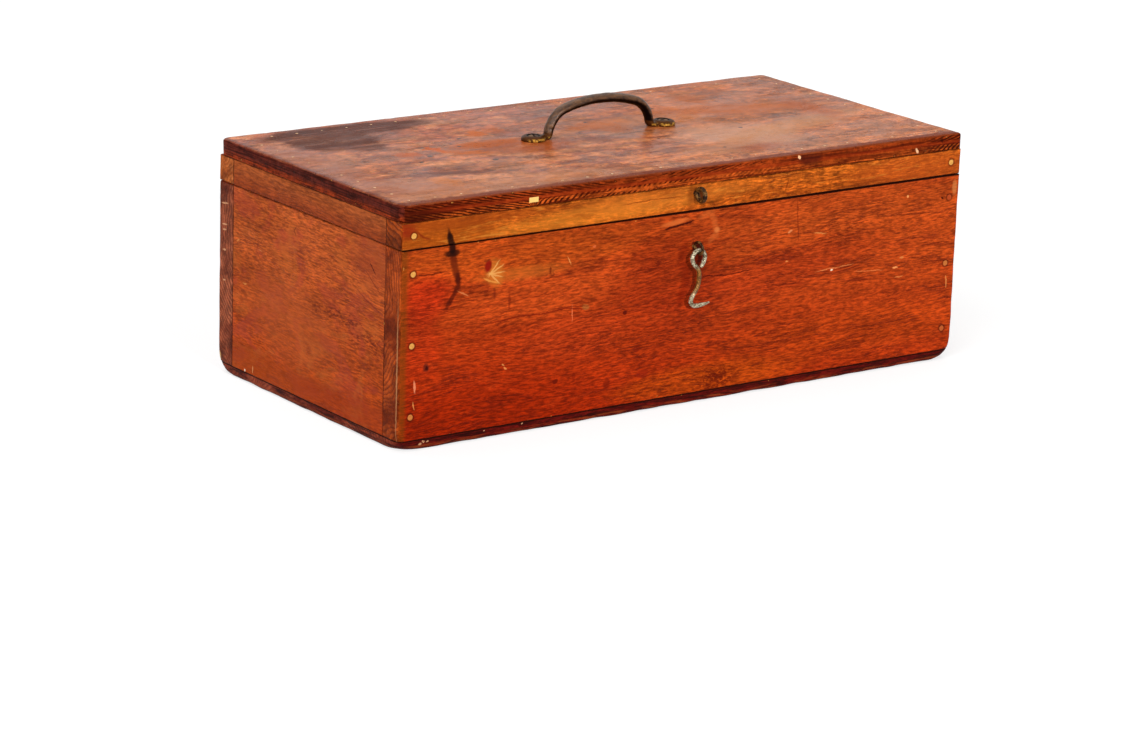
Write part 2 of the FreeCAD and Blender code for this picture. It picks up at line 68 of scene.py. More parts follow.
# Boards
GRID_STEP = 4.5
THIN_MARGINS = (0, 0.2, 0.45, 0.8, 1.2, 1.8, 2.6)
LONG_MARGINS = (0, 0.2, 0.45, 0.8, 1.2, 1.8, 2.6, 3.6, 5.0, 7.0, 9.5, 12.5, 16.0)
JOINT_RADIUS = 0.4
ARRIS_RADIUS = 1.8
SEAM_RADIUS = 0.8
FOOT_HEIGHT = 20.0
FOOT_WEAR = 19.0
SHARP_ANGLE = math.radians(38)

# Wood, and how far from the chest's middle its inside begins
RING_WIDTH = 3.2
TOP_RING_WIDTH = 6.0
INSIDE_X = (240, 238)
INSIDE_Y = (111, 109)
PEG_DIRT_RADIUS = 3.2

# Pegs and the hook's wire
PEG_SIDES = 28
LOOP_RADIUS = 5.6
LOOP_TOP = 7.2
WIRE_SIDES = 16

# Hinges, as in the frame
LEAF_THICKNESS = 1.5
MORTISE_CLEARANCE = 0.2

# Handle, as in the frame
LEG_SPACING = 92.4
FOOT_SPACING = 118.2
HANDLE_RISE = 25.8
CROWN_RADIUS = 110.0
SHOULDER_RADIUS = 21.0


# Meshes -------------------------------------------------------------------------------------

def link_mesh(name, mesh):
    piece = bpy.data.objects.new(name, mesh)
    bpy.context.scene.collection.objects.link(piece)
    return piece


def add_mesh(name, points, faces):
    """A smooth-shaded object from points in millimetres."""
    mesh = bpy.data.meshes.new(name)
    mesh.from_pydata([Vector(point) * MM for point in points], [], faces)
    mesh.validate()
    shade(mesh)
    return link_mesh(name, mesh)


def shade(mesh):
    for polygon in mesh.polygons:
        polygon.use_smooth = True
    mesh.set_sharp_from_angle(angle=SHARP_ANGLE)


def apply_modifiers(piece):
    """The piece's mesh becomes what its modifiers make of it."""
    graph = bpy.context.evaluated_depsgraph_get()
    mesh = bpy.data.meshes.new_from_object(piece.evaluated_get(graph))
    piece.modifiers.clear()
    piece.data = mesh
    shade(mesh)


def add_point_value(mesh, name, values):
    attribute = mesh.attributes.new(name, "FLOAT", "POINT")
    attribute.data.foreach_set("value", values)


def box_in_mm(node):
    low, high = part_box(node)
    return low / MM, high / MM


def solids_of(node):
    """The box in millimetres of each separate solid in a CAD node."""
    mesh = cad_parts[node].data
    spots = [tuple(round(value / MM, 3) for value in vertex.co) for vertex in mesh.vertices]
    leader = {spot: spot for spot in spots}

    def find(spot):
        while leader[spot] != spot:
            spot = leader[spot]
        return spot

    for polygon in mesh.polygons:
        first = find(spots[polygon.vertices[0]])
        for index in polygon.vertices[1:]:
            leader[find(spots[index])] = first
    groups = {}
    for spot in leader:
        groups.setdefault(find(spot), []).append(spot)
    boxes = []
    for members in groups.values():
        low = Vector(min(member[axis] for member in members) for axis in range(3))
        high = Vector(max(member[axis] for member in members) for axis in range(3))
        boxes.append((low, high))
    return sorted(boxes, key=lambda box: tuple(box[0]))


def grid_lines(low, high, step, margins):
    """Positions from low to high: close together near both ends, then about a step apart."""
    near = [low + margin for margin in margins]
    far = [high - margin for margin in reversed(margins)]
    gap = far[0] - near[-1]
    count = max(1, round(gap / step))
    middle = [near[-1] + gap * index / count for index in range(1, count)]
    return near + middle + far


def box_shell(lines):
    """Points and quads of a box's outside, on the crossings of three sets of grid lines."""
    last = [len(line) - 1 for line in lines]
    numbers = {}
    points = []

    def number(key):
        if key not in numbers:
            numbers[key] = len(points)
            points.append(Vector(lines[axis][key[axis]] for axis in range(3)))
        return numbers[key]

    faces = []
    for axis in range(3):
        across, up = (axis + 1) % 3, (axis + 2) % 3
        for end in (0, last[axis]):
            for i in range(last[across]):
                for j in range(last[up]):
                    keys = []
                    for step_i, step_j in ((0, 0), (1, 0), (1, 1), (0, 1)):
                        key = [0, 0, 0]
                        key[axis], key[across], key[up] = end, i + step_i, j + step_j
                        keys.append(number(tuple(key)))
                    faces.append(keys if end else keys[::-1])
    return points, faces


def circle(sides):
    """The cosine and sine of each corner of a regular polygon."""
    angles = [2 * math.pi * index / sides for index in range(sides)]
    return [(math.cos(angle), math.sin(angle)) for angle in angles]


def rings_to_mesh(rings):
    """Points and faces of a tube through closed rings of points, capped at both ends."""
    sides = len(rings[0])
    points = [point for ring in rings for point in ring]
    faces = [list(range(sides))[::-1], [len(points) - sides + index for index in range(sides)]]
    for ring in range(len(rings) - 1):
        base = ring * sides
        for index in range(sides):
            following = (index + 1) % sides
            faces.append([base + index, base + following,
                          base + sides + following, base + sides + index])
    return points, faces


def joined(parts):
    """One list of points and one of faces from several."""
    points = []
    faces = []
    for part_points, part_faces in parts:
        faces += [[index + len(points) for index in face] for face in part_faces]
        points += part_points
    return points, faces


# Worn boards --------------------------------------------------------------------------------

def rounded(inset, depth, radius):
    """Carry a point near a square edge to the same place by an edge of the given radius."""
    if inset >= radius or depth >= radius:
        return inset, depth
    out = Vector((radius - inset, radius - depth))
    scale = max(out) / out.length
    return radius - out.x * scale, radius - out.y * scale


def wear(point, size, seed):
    """From about -1 to 1, changing over the given number of millimetres."""
    return noise.noise(point / size + Vector((seed, seed, seed)))


def foot_wear(z):
    """How much further the chest's upright arrises are rubbed near the floor."""
    share = max(0.0, (FOOT_HEIGHT - z) / FOOT_HEIGHT)
    return FOOT_WEAR * share ** 3


class BoardWear:
    """The radius of each edge of a board, by the two sides that meet there."""

    def __init__(self, edges, nicks, seed):
        self.edges = edges
        self.nicks = nicks
        self.seed = seed

    def radius(self, name, point, foot):
        base = self.edges.get(name, JOINT_RADIUS)
        change = 1 + 0.45 * wear(point, 14.0, self.seed)
        if name not in self.edges:
            return base * change
        nick = max(0.0, wear(point, 3.5, self.seed + 7) - 0.22) * self.nicks
        return base * change + nick + foot


def worn_point(point, low, high, board_wear):
    side_x = "left" if point.x - low.x < high.x - point.x else "right"
    side_y = "front" if point.y - low.y < high.y - point.y else "back"
    end = "bottom" if point.z - low.z < high.z - point.z else "top"
    inset_x = min(point.x - low.x, high.x - point.x)
    inset_y = min(point.y - low.y, high.y - point.y)
    depth = min(point.z - low.z, high.z - point.z)
    upright = side_y + " " + side_x
    foot = foot_wear(point.z) if upright in board_wear.edges else 0.0
    corner_radius = board_wear.radius(upright, point, foot)
    side = side_x if inset_x < inset_y else side_y
    rim_radius = board_wear.radius(end + " " + side, point, 0.0)
    if inset_x < corner_radius and inset_y < corner_radius:
        out = Vector((corner_radius - inset_x, corner_radius - inset_y))
        inset = corner_radius - max(out)
        out.normalize()
        inset, depth = rounded(inset, depth, min(rim_radius, corner_radius))
        inset_x = corner_radius - out.x * (corner_radius - inset)
        inset_y = corner_radius - out.y * (corner_radius - inset)
    elif inset_x < inset_y:
        inset_x, depth = rounded(inset_x, depth, rim_radius)
    else:
        inset_y, depth = rounded(inset_y, depth, rim_radius)
    return Vector((low.x + inset_x if side_x == "left" else high.x - inset_x,
                   low.y + inset_y if side_y == "front" else high.y - inset_y,
                   low.z + depth if end == "bottom" else high.z - depth))


def edges_with(radius, *names):
    return dict.fromkeys(names, radius)


def worn_board(name, node, edges, nicks, seed):
    """A board in the place of a CAD node, its named edges rubbed round and nicked."""
    low, high = box_in_mm(node)
    board_wear = BoardWear(edges, nicks, seed)
    lines = []
    for axis in range(3):
        margins = LONG_MARGINS if high[axis] - low[axis] > 3 * LONG_MARGINS[-1] else THIN_MARGINS
        lines.append(grid_lines(low[axis], high[axis], GRID_STEP, margins))
    points, faces = box_shell(lines)
    points = [worn_point(point, low, high, board_wear) for point in points]
    return add_mesh(name, points, faces)


def cut(piece, points, faces):
    """Take a closed form away from a piece."""
    cutter = add_mesh("cutter", points, faces)
    modifier = piece.modifiers.new("cut", "BOOLEAN")
    modifier.object = cutter
    modifier.solver = "EXACT"
    apply_modifiers(piece)
    bpy.data.objects.remove(cutter)


def hinge_mortises(piece, leaf_node, low_z, high_z):
    """Let both leaves of a node into the board's edge, between two levels."""
    for low, high in solids_of(leaf_node):
        across = (low.x - MORTISE_CLEARANCE, high.x + MORTISE_CLEARANCE)
        inward = (low.y - MORTISE_CLEARANCE, high.y)
        cut(piece, *box_shell((across, inward, (low_z, high_z))))


# Shader nodes -------------------------------------------------------------------------------

def tint(red, green, blue):
    """A colour given as it shows on a screen, 0 to 255, as the shader wants it."""
    parts = []
    for value in (red, green, blue):
        share = value / 255
        parts.append(share / 12.92 if share <= 0.04045 else ((share + 0.055) / 1.055) ** 2.4)
    return (*parts, 1.0)


class Value:
    """What comes out of a node. A sum with it adds a math node."""

    def __init__(self, shader, socket):
        self.shader = shader
        self.socket = socket

    def __add__(self, other):
        return self.shader.math("ADD", self, other)

    def __sub__(self, other):
        return self.shader.math("SUBTRACT", self, other)

    def __rsub__(self, other):
        return self.shader.math("SUBTRACT", other, self)

    def __mul__(self, other):
        return self.shader.math("MULTIPLY", self, other)

    def __truediv__(self, other):
        return self.shader.math("DIVIDE", self, other)

    def __abs__(self):
        return self.shader.math("ABSOLUTE", self)


class Nodes:
    """The nodes of a material or a world."""

    def __init__(self, owner):
        owner.use_nodes = True
        self.tree = owner.node_tree
        self.tree.nodes.clear()

    def add(self, kind, **settings):
        node = self.tree.nodes.new("ShaderNode" + kind)
        for key, value in settings.items():
            setattr(node, key, value)
        return node

    def feed(self, socket, value):
        """Link a socket to a value, or set it. A colour of three numbers is for tint."""
        if isinstance(value, Value):
            self.tree.links.new(value.socket, socket)
        elif socket.type == "RGBA":
            socket.default_value = tint(*value) if len(value) == 3 else value
        else:
            socket.default_value = value

    def fed(self, node, values, output=0):
        """What comes out of a node when its first inputs are fed in turn."""
        for socket, value in zip(node.inputs, values):
            self.feed(socket, value)
        return Value(self, node.outputs[output])

    def fed_by_name(self, node, output=0, **values):
        """What comes out of a node when the named inputs are fed."""
        for name, value in values.items():
            self.feed(node.inputs[name.replace("_", " ")], value)
        return Value(self, node.outputs[output])

    def math(self, operation, first, second=0.0):
        return self.fed(self.add("Math", operation=operation), (first, second))

    def white_to_camera(self, plain, white, output):
        """Rays from the camera, and those seen in gloss or glass, meet white, not plain."""
        path = self.add("LightPath")
        camera, glossy, through = [Value(self, path.outputs["Is %s Ray" % kind])
                                   for kind in ("Camera", "Glossy", "Transmission")]
        seen = self.add("Math", operation="ADD", use_clamp=True)
        seen = self.fed(seen, (camera + glossy, through))
        light = self.fed(self.add("MixShader"), (seen, plain, white))
        self.feed(self.add(output).inputs["Surface"], light)


class Shader(Nodes):
    """The nodes of one material. Most calls add a node and return what comes out of it."""

    def __init__(self, name):
        self.material = bpy.data.materials.new(name)
        super().__init__(self.material)
        texture = self.add("TexCoord")
        self.place = self.scaled(Value(self, texture.outputs["Object"]), 1 / MM)
        self.facing = Value(self, texture.outputs["Normal"])

    def most(self, first, second):
        return self.math("MAXIMUM", first, second)

    def straight(self, value, factor, offset):
        """value * factor + offset"""
        return self.fed(self.add("Math", operation="MULTIPLY_ADD"), (value, factor, offset))

    def vector(self, operation, first, second):
        return self.fed(self.add("VectorMath", operation=operation), (first, second))

    def scaled(self, vector, factor):
        node = self.add("VectorMath", operation="SCALE")
        self.feed(node.inputs["Scale"], factor)
        return self.fed(node, (vector,))

    def length(self, vector):
        return self.fed(self.add("VectorMath", operation="LENGTH"), (vector,), "Value")

    def parts(self, vector):
        node = self.add("SeparateXYZ")
        self.feed(node.inputs[0], vector)
        return [Value(self, output) for output in node.outputs]

    def combined(self, x, y, z):
        return self.fed(self.add("CombineXYZ"), (x, y, z))

    def noise(self, place, sizes, detail=2.0, roughness=0.5, distortion=0.0, shift=0.0):
        """Noise from 0 to 1 whose lumps are about the given sizes along each axis."""
        at = self.vector("DIVIDE", place, sizes)
        at = self.vector("ADD", at, (shift, shift, shift))
        return self.fed_by_name(self.add("TexNoise"), Vector=at, Scale=1.0, Detail=detail,
                                Roughness=roughness, Distortion=distortion)

    def warped(self, place, size, amount):
        """The place moved by up to about half the amount, to make outlines ragged."""
        moved = self.fed_by_name(self.add("TexNoise"), "Color", Vector=place, Scale=1 / size,
                                 Detail=3.0, Roughness=0.6)
        moved = self.vector("SUBTRACT", moved, (0.5, 0.5, 0.5))
        return self.vector("ADD", place, self.scaled(moved, amount))

    def ramp(self, value, low, high, to_low=0.0, to_high=1.0):
        """Smoothly from to_low to to_high as a value goes from low to high."""
        node = self.add("MapRange", interpolation_type="SMOOTHSTEP")
        return self.fed(node, (value, low, high, to_low, to_high))

    def mix(self, share, first, second):
        """The first colour where the share is 0, and the second where it is 1."""
        node = self.add("Mix", data_type="RGBA")
        for index, value in ((0, share), (6, first), (7, second)):
            self.feed(node.inputs[index], value)
        return Value(self, node.outputs[2])

    def painted(self, colour, mask, paint, strength=1.0):
        return self.mix(mask * strength, colour, paint)

    def patchy(self, colour, pattern, low, high, paint, strength=1.0):
        """The paint where a pattern has gone from low to high."""
        return self.painted(colour, self.ramp(pattern, low, high), paint, strength)

    def lit(self, colour, factor):
        """The colour made lighter or darker."""
        return self.fed_by_name(self.add("HueSaturation"), Value=factor, Color=colour)

    def spot(self, along, up, centre, size, turn=0.0, soft=0.35):
        """1 inside an ellipse of the given half sizes, turned anticlockwise, and 0 outside it."""
        cosine, sine = math.cos(math.radians(turn)), math.sin(math.radians(turn))
        squares = []
        for (share_along, share_up), half in zip(((cosine, sine), (-sine, cosine)), size):
            middle = centre[0] * share_along + centre[1] * share_up
            off = self.straight(up, share_up / half, -middle / half)
            off = self.straight(along, share_along / half, off)
            squares.append(off * off)
        return self.ramp(squares[0] + squares[1], (1 - soft) ** 2, (1 + soft) ** 2, 1, 0)

    def attribute(self, name):
        return Value(self, self.add("Attribute", attribute_name=name).outputs["Fac"])

    def surface(self, colour, roughness, height, bump, metallic, specular):
        """The material's shader, with a bump from a height in millimetres."""
        normal = self.fed_by_name(self.add("Bump"), Strength=bump, Distance=MM, Height=height)
        light = self.fed_by_name(self.add("BsdfPrincipled"), Base_Color=colour,
                                 Roughness=roughness, Metallic=metallic,
                                 Specular_IOR_Level=specular, Normal=normal)
        self.feed(self.add("OutputMaterial").inputs["Surface"], light)
        return self.material


# dark dirt along edges, also used as painted shade in seams and in the lid's gap
GRIME_AND_SHADE = (34, 8, 3)
BLACK_STAIN = (30, 8, 4)
PALE_SCRATCH = (224, 140, 72)
RAW_WOOD = (214, 142, 66)


# Wood ---------------------------------------------------------------------------------------

class Wood(Shader):
    """Varnished wood with one board's grain, worn, dirty and darkened with painted shade at its
    edges.
    """

    def __init__(self, name, node, grain, pith, ring_width, seed):
        super().__init__(name)
        self.seed = seed
        self.spreads = (0.1, 0.12, 0.1, 0.38)
        self.low, self.high = box_in_mm(node)
        self.ragged = self.parts(self.warped(self.place, 3.5, 2))
        self.x, self.y, self.z = self.parts(self.place)[:3]
        along, across = (self.x, self.y) if grain == "X" else (self.y, self.x)
        lie = self.noise(self.place, (150, 150, 45), 2, 0.5, 0, seed + 8)
        self.grained = self.combined(along, across, self.z + (lie - 0.5) * 18)
        normal = self.parts(self.facing)
        self.end_grain = self.ramp(abs(normal[0 if grain == "X" else 1]), 0.6, 0.85)
        self.flat = self.ramp(abs(normal[2]), 0.5, 0.8)
        self.cloud = self.noise(self.grained, (70, 34, 28), 3, 0.6, 0.6, seed)
        self.lumps = self.noise(self.place, (8, 8, 8), 4, 0.85, 0, seed + 4)
        self.band = self.noise(self.grained, (130, 11, 11), 5, 0.85, 0.4, seed + 1)
        self.fibre = self.noise(self.grained, (7, 1.2, 1.2), 2, 0.7, 0.2, seed + 3)
        pores = self.noise(self.grained, (7, 1.2, 1.2), 1, 0.5, 0, seed + 5)
        self.pores = self.ramp(pores, 0.58, 0.68)
        self.rings = self.ring_pattern(pith, ring_width)
        self.cracks = self.crack_pattern()

    def ring_pattern(self, pith, ring_width):
        """Growth rings round a pith: 1 in the dark late wood, 0 in the early wood."""
        away = self.vector("MULTIPLY", self.grained, (0, 1, 1))
        away = self.vector("SUBTRACT", away, (0, *pith))
        drift = self.noise(self.grained, (220, 50, 50), 3, 0.5, 0.4, self.seed + 6)
        wobble = self.noise(self.grained, (30, 7, 7), 2, 0.5, 0, self.seed + 7)
        radius = self.length(away) + drift * 24 + wobble * 2.5
        phase = self.math("FRACT", radius / ring_width)
        late = self.ramp(phase, 0.3, 0.85)
        return late * self.ramp(phase, 0.88, 1, 1, 0)

    def crack_pattern(self):
        """Thin dark checks along the grain, in some places only."""
        line = self.noise(self.grained, (75, 6, 6), 4, 0.7, 0.8, self.seed + 9)
        line = abs(line - 0.5)
        place = self.noise(self.grained, (50, 14, 14), 2, 0.5, 0, self.seed + 10)
        return self.ramp(line, 0.008, 0.03, 1, 0) * self.ramp(place, 0.48, 0.6)

    def edge_distance(self):
        """Millimetres from a point of the board's outside to its nearest edge."""
        insets = []
        for axis, part in enumerate((self.x, self.y, self.z)):
            middle = (self.low[axis] + self.high[axis]) / 2
            half = (self.high[axis] - self.low[axis]) / 2
            insets.append(half - abs(part - middle))
        small = self.math("MINIMUM", insets[0], insets[1])
        large = self.most(insets[0], insets[1])
        return self.most(small, self.math("MINIMUM", large, insets[2]))

    def inside(self):
        """1 on the faces that look into the chest."""
        return self.ramp(abs(self.x), *INSIDE_X) * self.ramp(abs(self.y), *INSIDE_Y)

    def grained_colour(self, colour, pore, ring_share, contrast=1.0):
        """Patches, bands, fibres, rings, pores and checks over a ground colour."""
        for pattern, spread in zip((self.cloud, self.band, self.lumps, self.fibre), self.spreads):
            reach = spread * contrast
            colour = self.lit(colour, self.ramp(pattern, 0.34, 0.66, 1 - reach, 1 + reach))
        colour = self.mix(self.rings * ring_share, colour, pore)
        colour = self.mix(self.pores * (0.35 * contrast), colour, pore)
        return self.mix(self.cracks * (0.55 * contrast), colour, pore)

    def end_colour(self, dark, light, ring_share):
        colour = self.mix(self.ramp(self.cloud, 0.35, 0.65), dark, light)
        colour = self.mix(self.rings * ring_share, colour, dark)
        colour = self.lit(colour, self.ramp(self.lumps, 0.34, 0.66, 0.62, 1.38))
        return self.mix(self.pores * 0.3, colour, dark)

    def bared(self, colour, share=1.0):
        """The colour outside, and aged bare wood inside the chest."""
        bare = self.grained_colour((186, 134, 84), (112, 68, 38), 0.4, 0.7)
        return self.mix(self.inside() * share, colour, bare)

    def seamed(self, colour, grime_and_shade, reach=1.1, strength=0.9):
        """The colour darkened along the board's edges: dirt, and painted shade in the seams between
        boards.
        """
        away = self.edge_distance() + self.lumps * 0.7
        return self.mix(self.ramp(away, 0.5, reach, strength, 0), colour, grime_and_shade)

    def rubbed(self, colour, paint, reach, amount):
        """Specks of bare wood along the edges, within reach of them."""
        speck = self.noise(self.place, (3.2, 3.2, 3.2), 3, 0.6, 0, self.seed + 12)
        near = self.ramp(self.edge_distance(), reach * 0.5, reach, 1, 0)
        chip = self.ramp(speck, 0.7 - 0.2 * amount, 0.74 - 0.2 * amount)
        return self.painted(colour, near * chip, paint, 0.85)

    def varnished(self, colour, roughness, specular=0.03):
        height = self.pores * -0.1 + self.fibre * 0.16 + self.lumps * 0.2 - self.cracks * 0.2
        return self.surface(colour, roughness, height, 0.8, 0, specular)


class Marks:
    """Marks on a board's front (x, z), left (y, z) or top (x, y) face, in millimetres."""

    def __init__(self, wood, colour, face):
        self.wood = wood
        self.colour = colour
        self.matt = 0
        self.axes = {"front": (0, 2), "left": (1, 2), "top": (0, 1)}[face]
        self.place = wood.ragged

    def mask(self, along, up, half_length, half_width, turn=0.0, soft=0.35):
        first, second = self.axes
        return self.wood.spot(self.place[first], self.place[second], (along, up),
                              (half_length, half_width), turn, soft)

    def add(self, along, up, half_length, half_width, paint, strength=1.0, turn=0.0, soft=0.35,
            matt=0):
        mask = self.mask(along, up, half_length, half_width, turn, soft)
        self.colour = self.wood.painted(self.colour, mask, paint, strength)
        if matt:
            self.matt = self.wood.most(mask * matt, self.matt)

    def run(self, path, half_width, paint, strength=1.0, soft=0.5):
        """A thin mark that follows a path of places."""
        mask = 0
        for (along, up), (next_along, next_up) in zip(path, path[1:]):
            step = Vector((next_along - along, next_up - up))
            piece = self.mask((along + next_along) / 2, (up + next_up) / 2,
                              step.length * 0.6 + half_width, half_width,
                              math.degrees(math.atan2(step.y, step.x)), soft)
            mask = self.wood.most(piece, mask)
        self.colour = self.wood.painted(self.colour, mask, paint, strength)

    def peg_rims(self, node, strength):
        """Dirt in the varnish round each peg."""
        for low, high in solids_of(node):
            middle = (low + high) / 2
            self.add(middle.x, middle.z, PEG_DIRT_RADIUS, PEG_DIRT_RADIUS,
                     (62, 14, 4), strength, 0, 0.2)


def shade_gap(wood, colour, rise, raggedness, pale_z, dark_z):
    """The colour with painted shade along the lid's gap on the front face, darker towards the
    right.
    """
    level = wood.straight(wood.ramp(wood.x, -130, 10), rise, wood.z)
    gap = wood.ramp(wood.straight(wood.lumps, raggedness, level), pale_z, dark_z)
    gap = gap * wood.ramp(wood.y, wood.low.y + 2.4, wood.low.y + 1.4)
    return wood.painted(colour, gap, GRIME_AND_SHADE, 0.97)


def front_board_material():
    wood = Wood("front_board_wood", "case_front_board", "X", (-40, 118), RING_WIDTH, 11)
    # redder and darker low down on the left, more orange towards the top and the right
    rise = wood.ramp(wood.z, 0, 140) * 0.8
    rightward = wood.ramp(wood.x, -280, 260) * 0.4
    colour = wood.mix(rise + rightward, (154, 32, 2), (178, 68, 20))
    ground = Marks(wood, colour, "front")
    zone = ground.add
    zone(-229, 108, 16, 13, (190, 40, 12), 0.65, 12, 0.8)
    zone(-232, 72, 12, 16, (182, 44, 12), 0.45, 0, 0.8)
    zone(-150, 132, 90, 12, (182, 78, 18), 0.5, -2, 0.8)
    zone(-128, 100, 60, 13, (190, 74, 24), 0.5, 4, 0.8)
    zone(-104, 66, 34, 12, (190, 62, 20), 0.5, 0, 0.8)
    # painted shade: a darker red patch round the hook
    zone(-24, 96, 34, 28, (140, 30, 6), 0.5, 0, 0.9)
    zone(-180, 18, 60, 16, (140, 32, 2), 0.5, 0, 0.8)
    zone(20, 16, 60, 9, (188, 76, 10), 0.6, 0, 0.8)
    zone(150, 128, 80, 12, (182, 76, 24), 0.45, 2, 0.8)
    zone(70, 88, 70, 12, (160, 44, 14), 0.45, 6, 0.8)
    zone(150, 34, 90, 12, (178, 66, 12), 0.4, 0, 0.8)
    umber = wood.noise(wood.grained, (60, 9, 9), 4, 0.7, 0.6, 37)
    colour = wood.patchy(ground.colour, umber, 0.52, 0.66, (130, 34, 8), 0.25)
    ember = wood.noise(wood.grained, (48, 8, 8), 4, 0.7, 0.6, 39)
    colour = wood.patchy(colour, ember, 0.54, 0.68, (204, 72, 24), 0.25)
    colour = wood.grained_colour(colour, (88, 14, 4), 0.2)
    # brown wear by the left arris
    margin = wood.ramp(wood.x, wood.low.x + 7, wood.low.x + 3)
    colour = wood.painted(colour, margin, (116, 58, 8), 0.6)
    end = wood.end_colour((108, 36, 8), (184, 78, 24), 0.75)
    colour = wood.mix(wood.end_grain, colour, end)
    # the pale line rubbed down the end grain beside the corner
    rub_and_glint = Marks(wood, colour, "left").mask(-117.6, 56, 0.7, 44, 0, 0.4)
    colour = wood.painted(colour, rub_and_glint * wood.end_grain, (200, 140, 92), 0.7)
    colour = wood.rubbed(wood.seamed(colour, GRIME_AND_SHADE), RAW_WOOD, 2.6, 0.05)
    marks = Marks(wood, colour, "front")
    marks.peg_rims("case_front_pegs", 0.6)
    mark = marks.add
    # the dark drip that ran down from the lid
    marks.run(((-208.5, 141), (-208, 135), (-206.4, 127), (-203.6, 119)), 2.6, (92, 26, 6), 0.85)
    marks.run(((-203.4, 120), (-203, 114), (-206, 108.5), (-211.5, 100.5)), 1.7, (74, 16, 5), 0.8)
    mark(-208.6, 137.2, 6.2, 2.3, BLACK_STAIN, 0.9)
    mark(-208.6, 140.5, 2.4, 3.6, BLACK_STAIN, 0.9)
    mark(-204, 119, 2, 4, (70, 18, 6), 0.5)
    # a pale scar of short rays beside a red spot
    mark(-172.5, 119, 5, 7, (196, 116, 40), 0.6, 20, 0.9)
    mark(-150, 116, 26, 3.4, (196, 104, 34), 0.4, 0, 0.9)
    for tip_x, tip_z in ((-170.5, 126), (-168, 123), (-167, 119), (-168.5, 116), (-170, 112.5)):
        marks.run(((-176.5, 118.5), (tip_x, tip_z)), 0.55, (224, 158, 84), 0.75)
    marks.run(((-180.5, 115.5), (-176, 113.6), (-170.5, 111.6)), 0.6, (220, 140, 60), 0.75)
    mark(-178.4, 124.6, 2.7, 4.2, (132, 14, 8), 0.95, -12)
    mark(-179.4, 128.6, 2.6, 0.8, (108, 36, 10), 0.7, 14)
    # small knots and bruises
    mark(-228.4, 58.5, 2.4, 3, (92, 28, 16), 0.85)
    mark(-228, 58, 1.2, 1.6, (56, 8, 6), 0.9)
    mark(-94, 84.4, 3.2, 1.9, (166, 92, 40), 0.85, -10)
    mark(-59, 75.6, 1.8, 1.5, (84, 12, 4), 0.9)
    mark(-47.4, 47.7, 2.8, 2.4, (118, 26, 6), 0.7)
    mark(-118.4, 33, 2.4, 1.8, (88, 14, 3), 0.85)
    mark(-102.4, 34, 1.4, 3.2, (112, 22, 4), 0.6)
    mark(-73.5, 25, 2.6, 3.6, (108, 22, 4), 0.65)
    mark(-159.9, 97, 1, 5.6, (112, 28, 8), 0.6)
    mark(-172.5, 104, 0.8, 4, (112, 28, 8), 0.5)
    mark(-125.5, 115, 0.8, 2.4, (96, 22, 6), 0.7)
    mark(-42, 28, 5, 3, (130, 24, 8), 0.5)
    # thin pale scratches and flecks
    marks.run(((-110.2, 121.6), (-108, 117.8)), 0.4, PALE_SCRATCH, 0.7)
    marks.run(((-105.7, 85.6), (-105.4, 77.2)), 0.35, (228, 112, 64), 0.9)
    marks.run(((-237.6, 48.6), (-237.2, 43.2)), 0.75, (224, 130, 90), 0.9)
    marks.run(((-238.4, 34), (-237.8, 30.8)), 0.5, PALE_SCRATCH, 0.8)
    marks.run(((-202, 109), (-196, 106.2)), 0.5, (216, 128, 72), 0.6)
    mark(-163.6, 51.4, 1.2, 0.5, PALE_SCRATCH, 0.8, -30)
    mark(-161.8, 48.8, 1.3, 0.6, PALE_SCRATCH, 0.8, -40)
    mark(-88, 127.6, 1.4, 0.9, (214, 100, 52), 0.8)
    mark(129.6, 83.8, 1.1, 0.8, (255, 226, 190), 0.95)
    marks.run(((117, 84), (127, 85.2), (136, 84.8), (147, 85.6)), 0.35, (226, 128, 68), 0.7)
    marks.run(((154, 79.5), (163, 78.6), (176, 78)), 0.35, (220, 116, 60), 0.7)
    mark(191, 78, 2.2, 0.7, (238, 150, 84), 0.85)
    mark(197, 84.8, 2, 0.7, PALE_SCRATCH, 0.6)
    mark(195, 70.5, 4, 0.4, PALE_SCRATCH, 0.5)
    mark(88.6, 117.6, 2, 0.8, (232, 140, 84), 0.75, 20)
    mark(86.6, 95.4, 1.2, 0.6, PALE_SCRATCH, 0.7)
    marks.run(((113, 113.6), (121, 112.6)), 0.4, PALE_SCRATCH, 0.7)
    mark(199.7, 131.3, 0.9, 0.9, (236, 160, 90), 0.9)
    mark(233.9, 126.7, 1.6, 0.8, (46, 8, 4), 0.9, -10)
    marks.run(((94.4, 137), (95.2, 126), (96.6, 113)), 0.6, (104, 26, 8), 0.55)
    marks.run(((8, 138.6), (14, 140.4), (17.6, 136), (19, 131), (20.4, 125), (16.6, 121)), 1.7,
              (212, 104, 46), 0.35, 0.9)
    mark(20.6, 127, 2, 1.6, (222, 124, 62), 0.6, 30, 0.6)
    marks.run(((241.8, 64), (242.6, 60.4), (242.4, 57)), 0.5, PALE_SCRATCH, 0.8)
    mark(245.4, 133.4, 1.8, 4.4, (206, 124, 64), 0.6, 0, 0.7)
    # the gouge, the crack, the checks and the bruised patch at the lower edge
    mark(-17, 136.6, 9, 1.5, (214, 106, 46), 0.7, 6, 0.8)
    marks.run(((-24.6, 132.6), (-17, 134), (-9, 134.6), (-2, 136)), 0.75, (58, 8, 3), 0.95)
    marks.run(((10, 94), (20, 93), (33, 92), (52, 93.4)), 0.4, (72, 10, 4), 0.9)
    marks.run(((-237, 124.8), (-228, 124.2), (-214, 125)), 0.4, (74, 16, 5), 0.8)
    marks.run(((-172, 83.4), (-150, 85), (-132, 84.2), (-112, 85.6), (-98, 83.8)), 0.5,
              (108, 20, 5), 0.75)
    marks.run(((-120, 86.4), (-104, 86.2), (-92, 85)), 0.4, (100, 18, 5), 0.7)
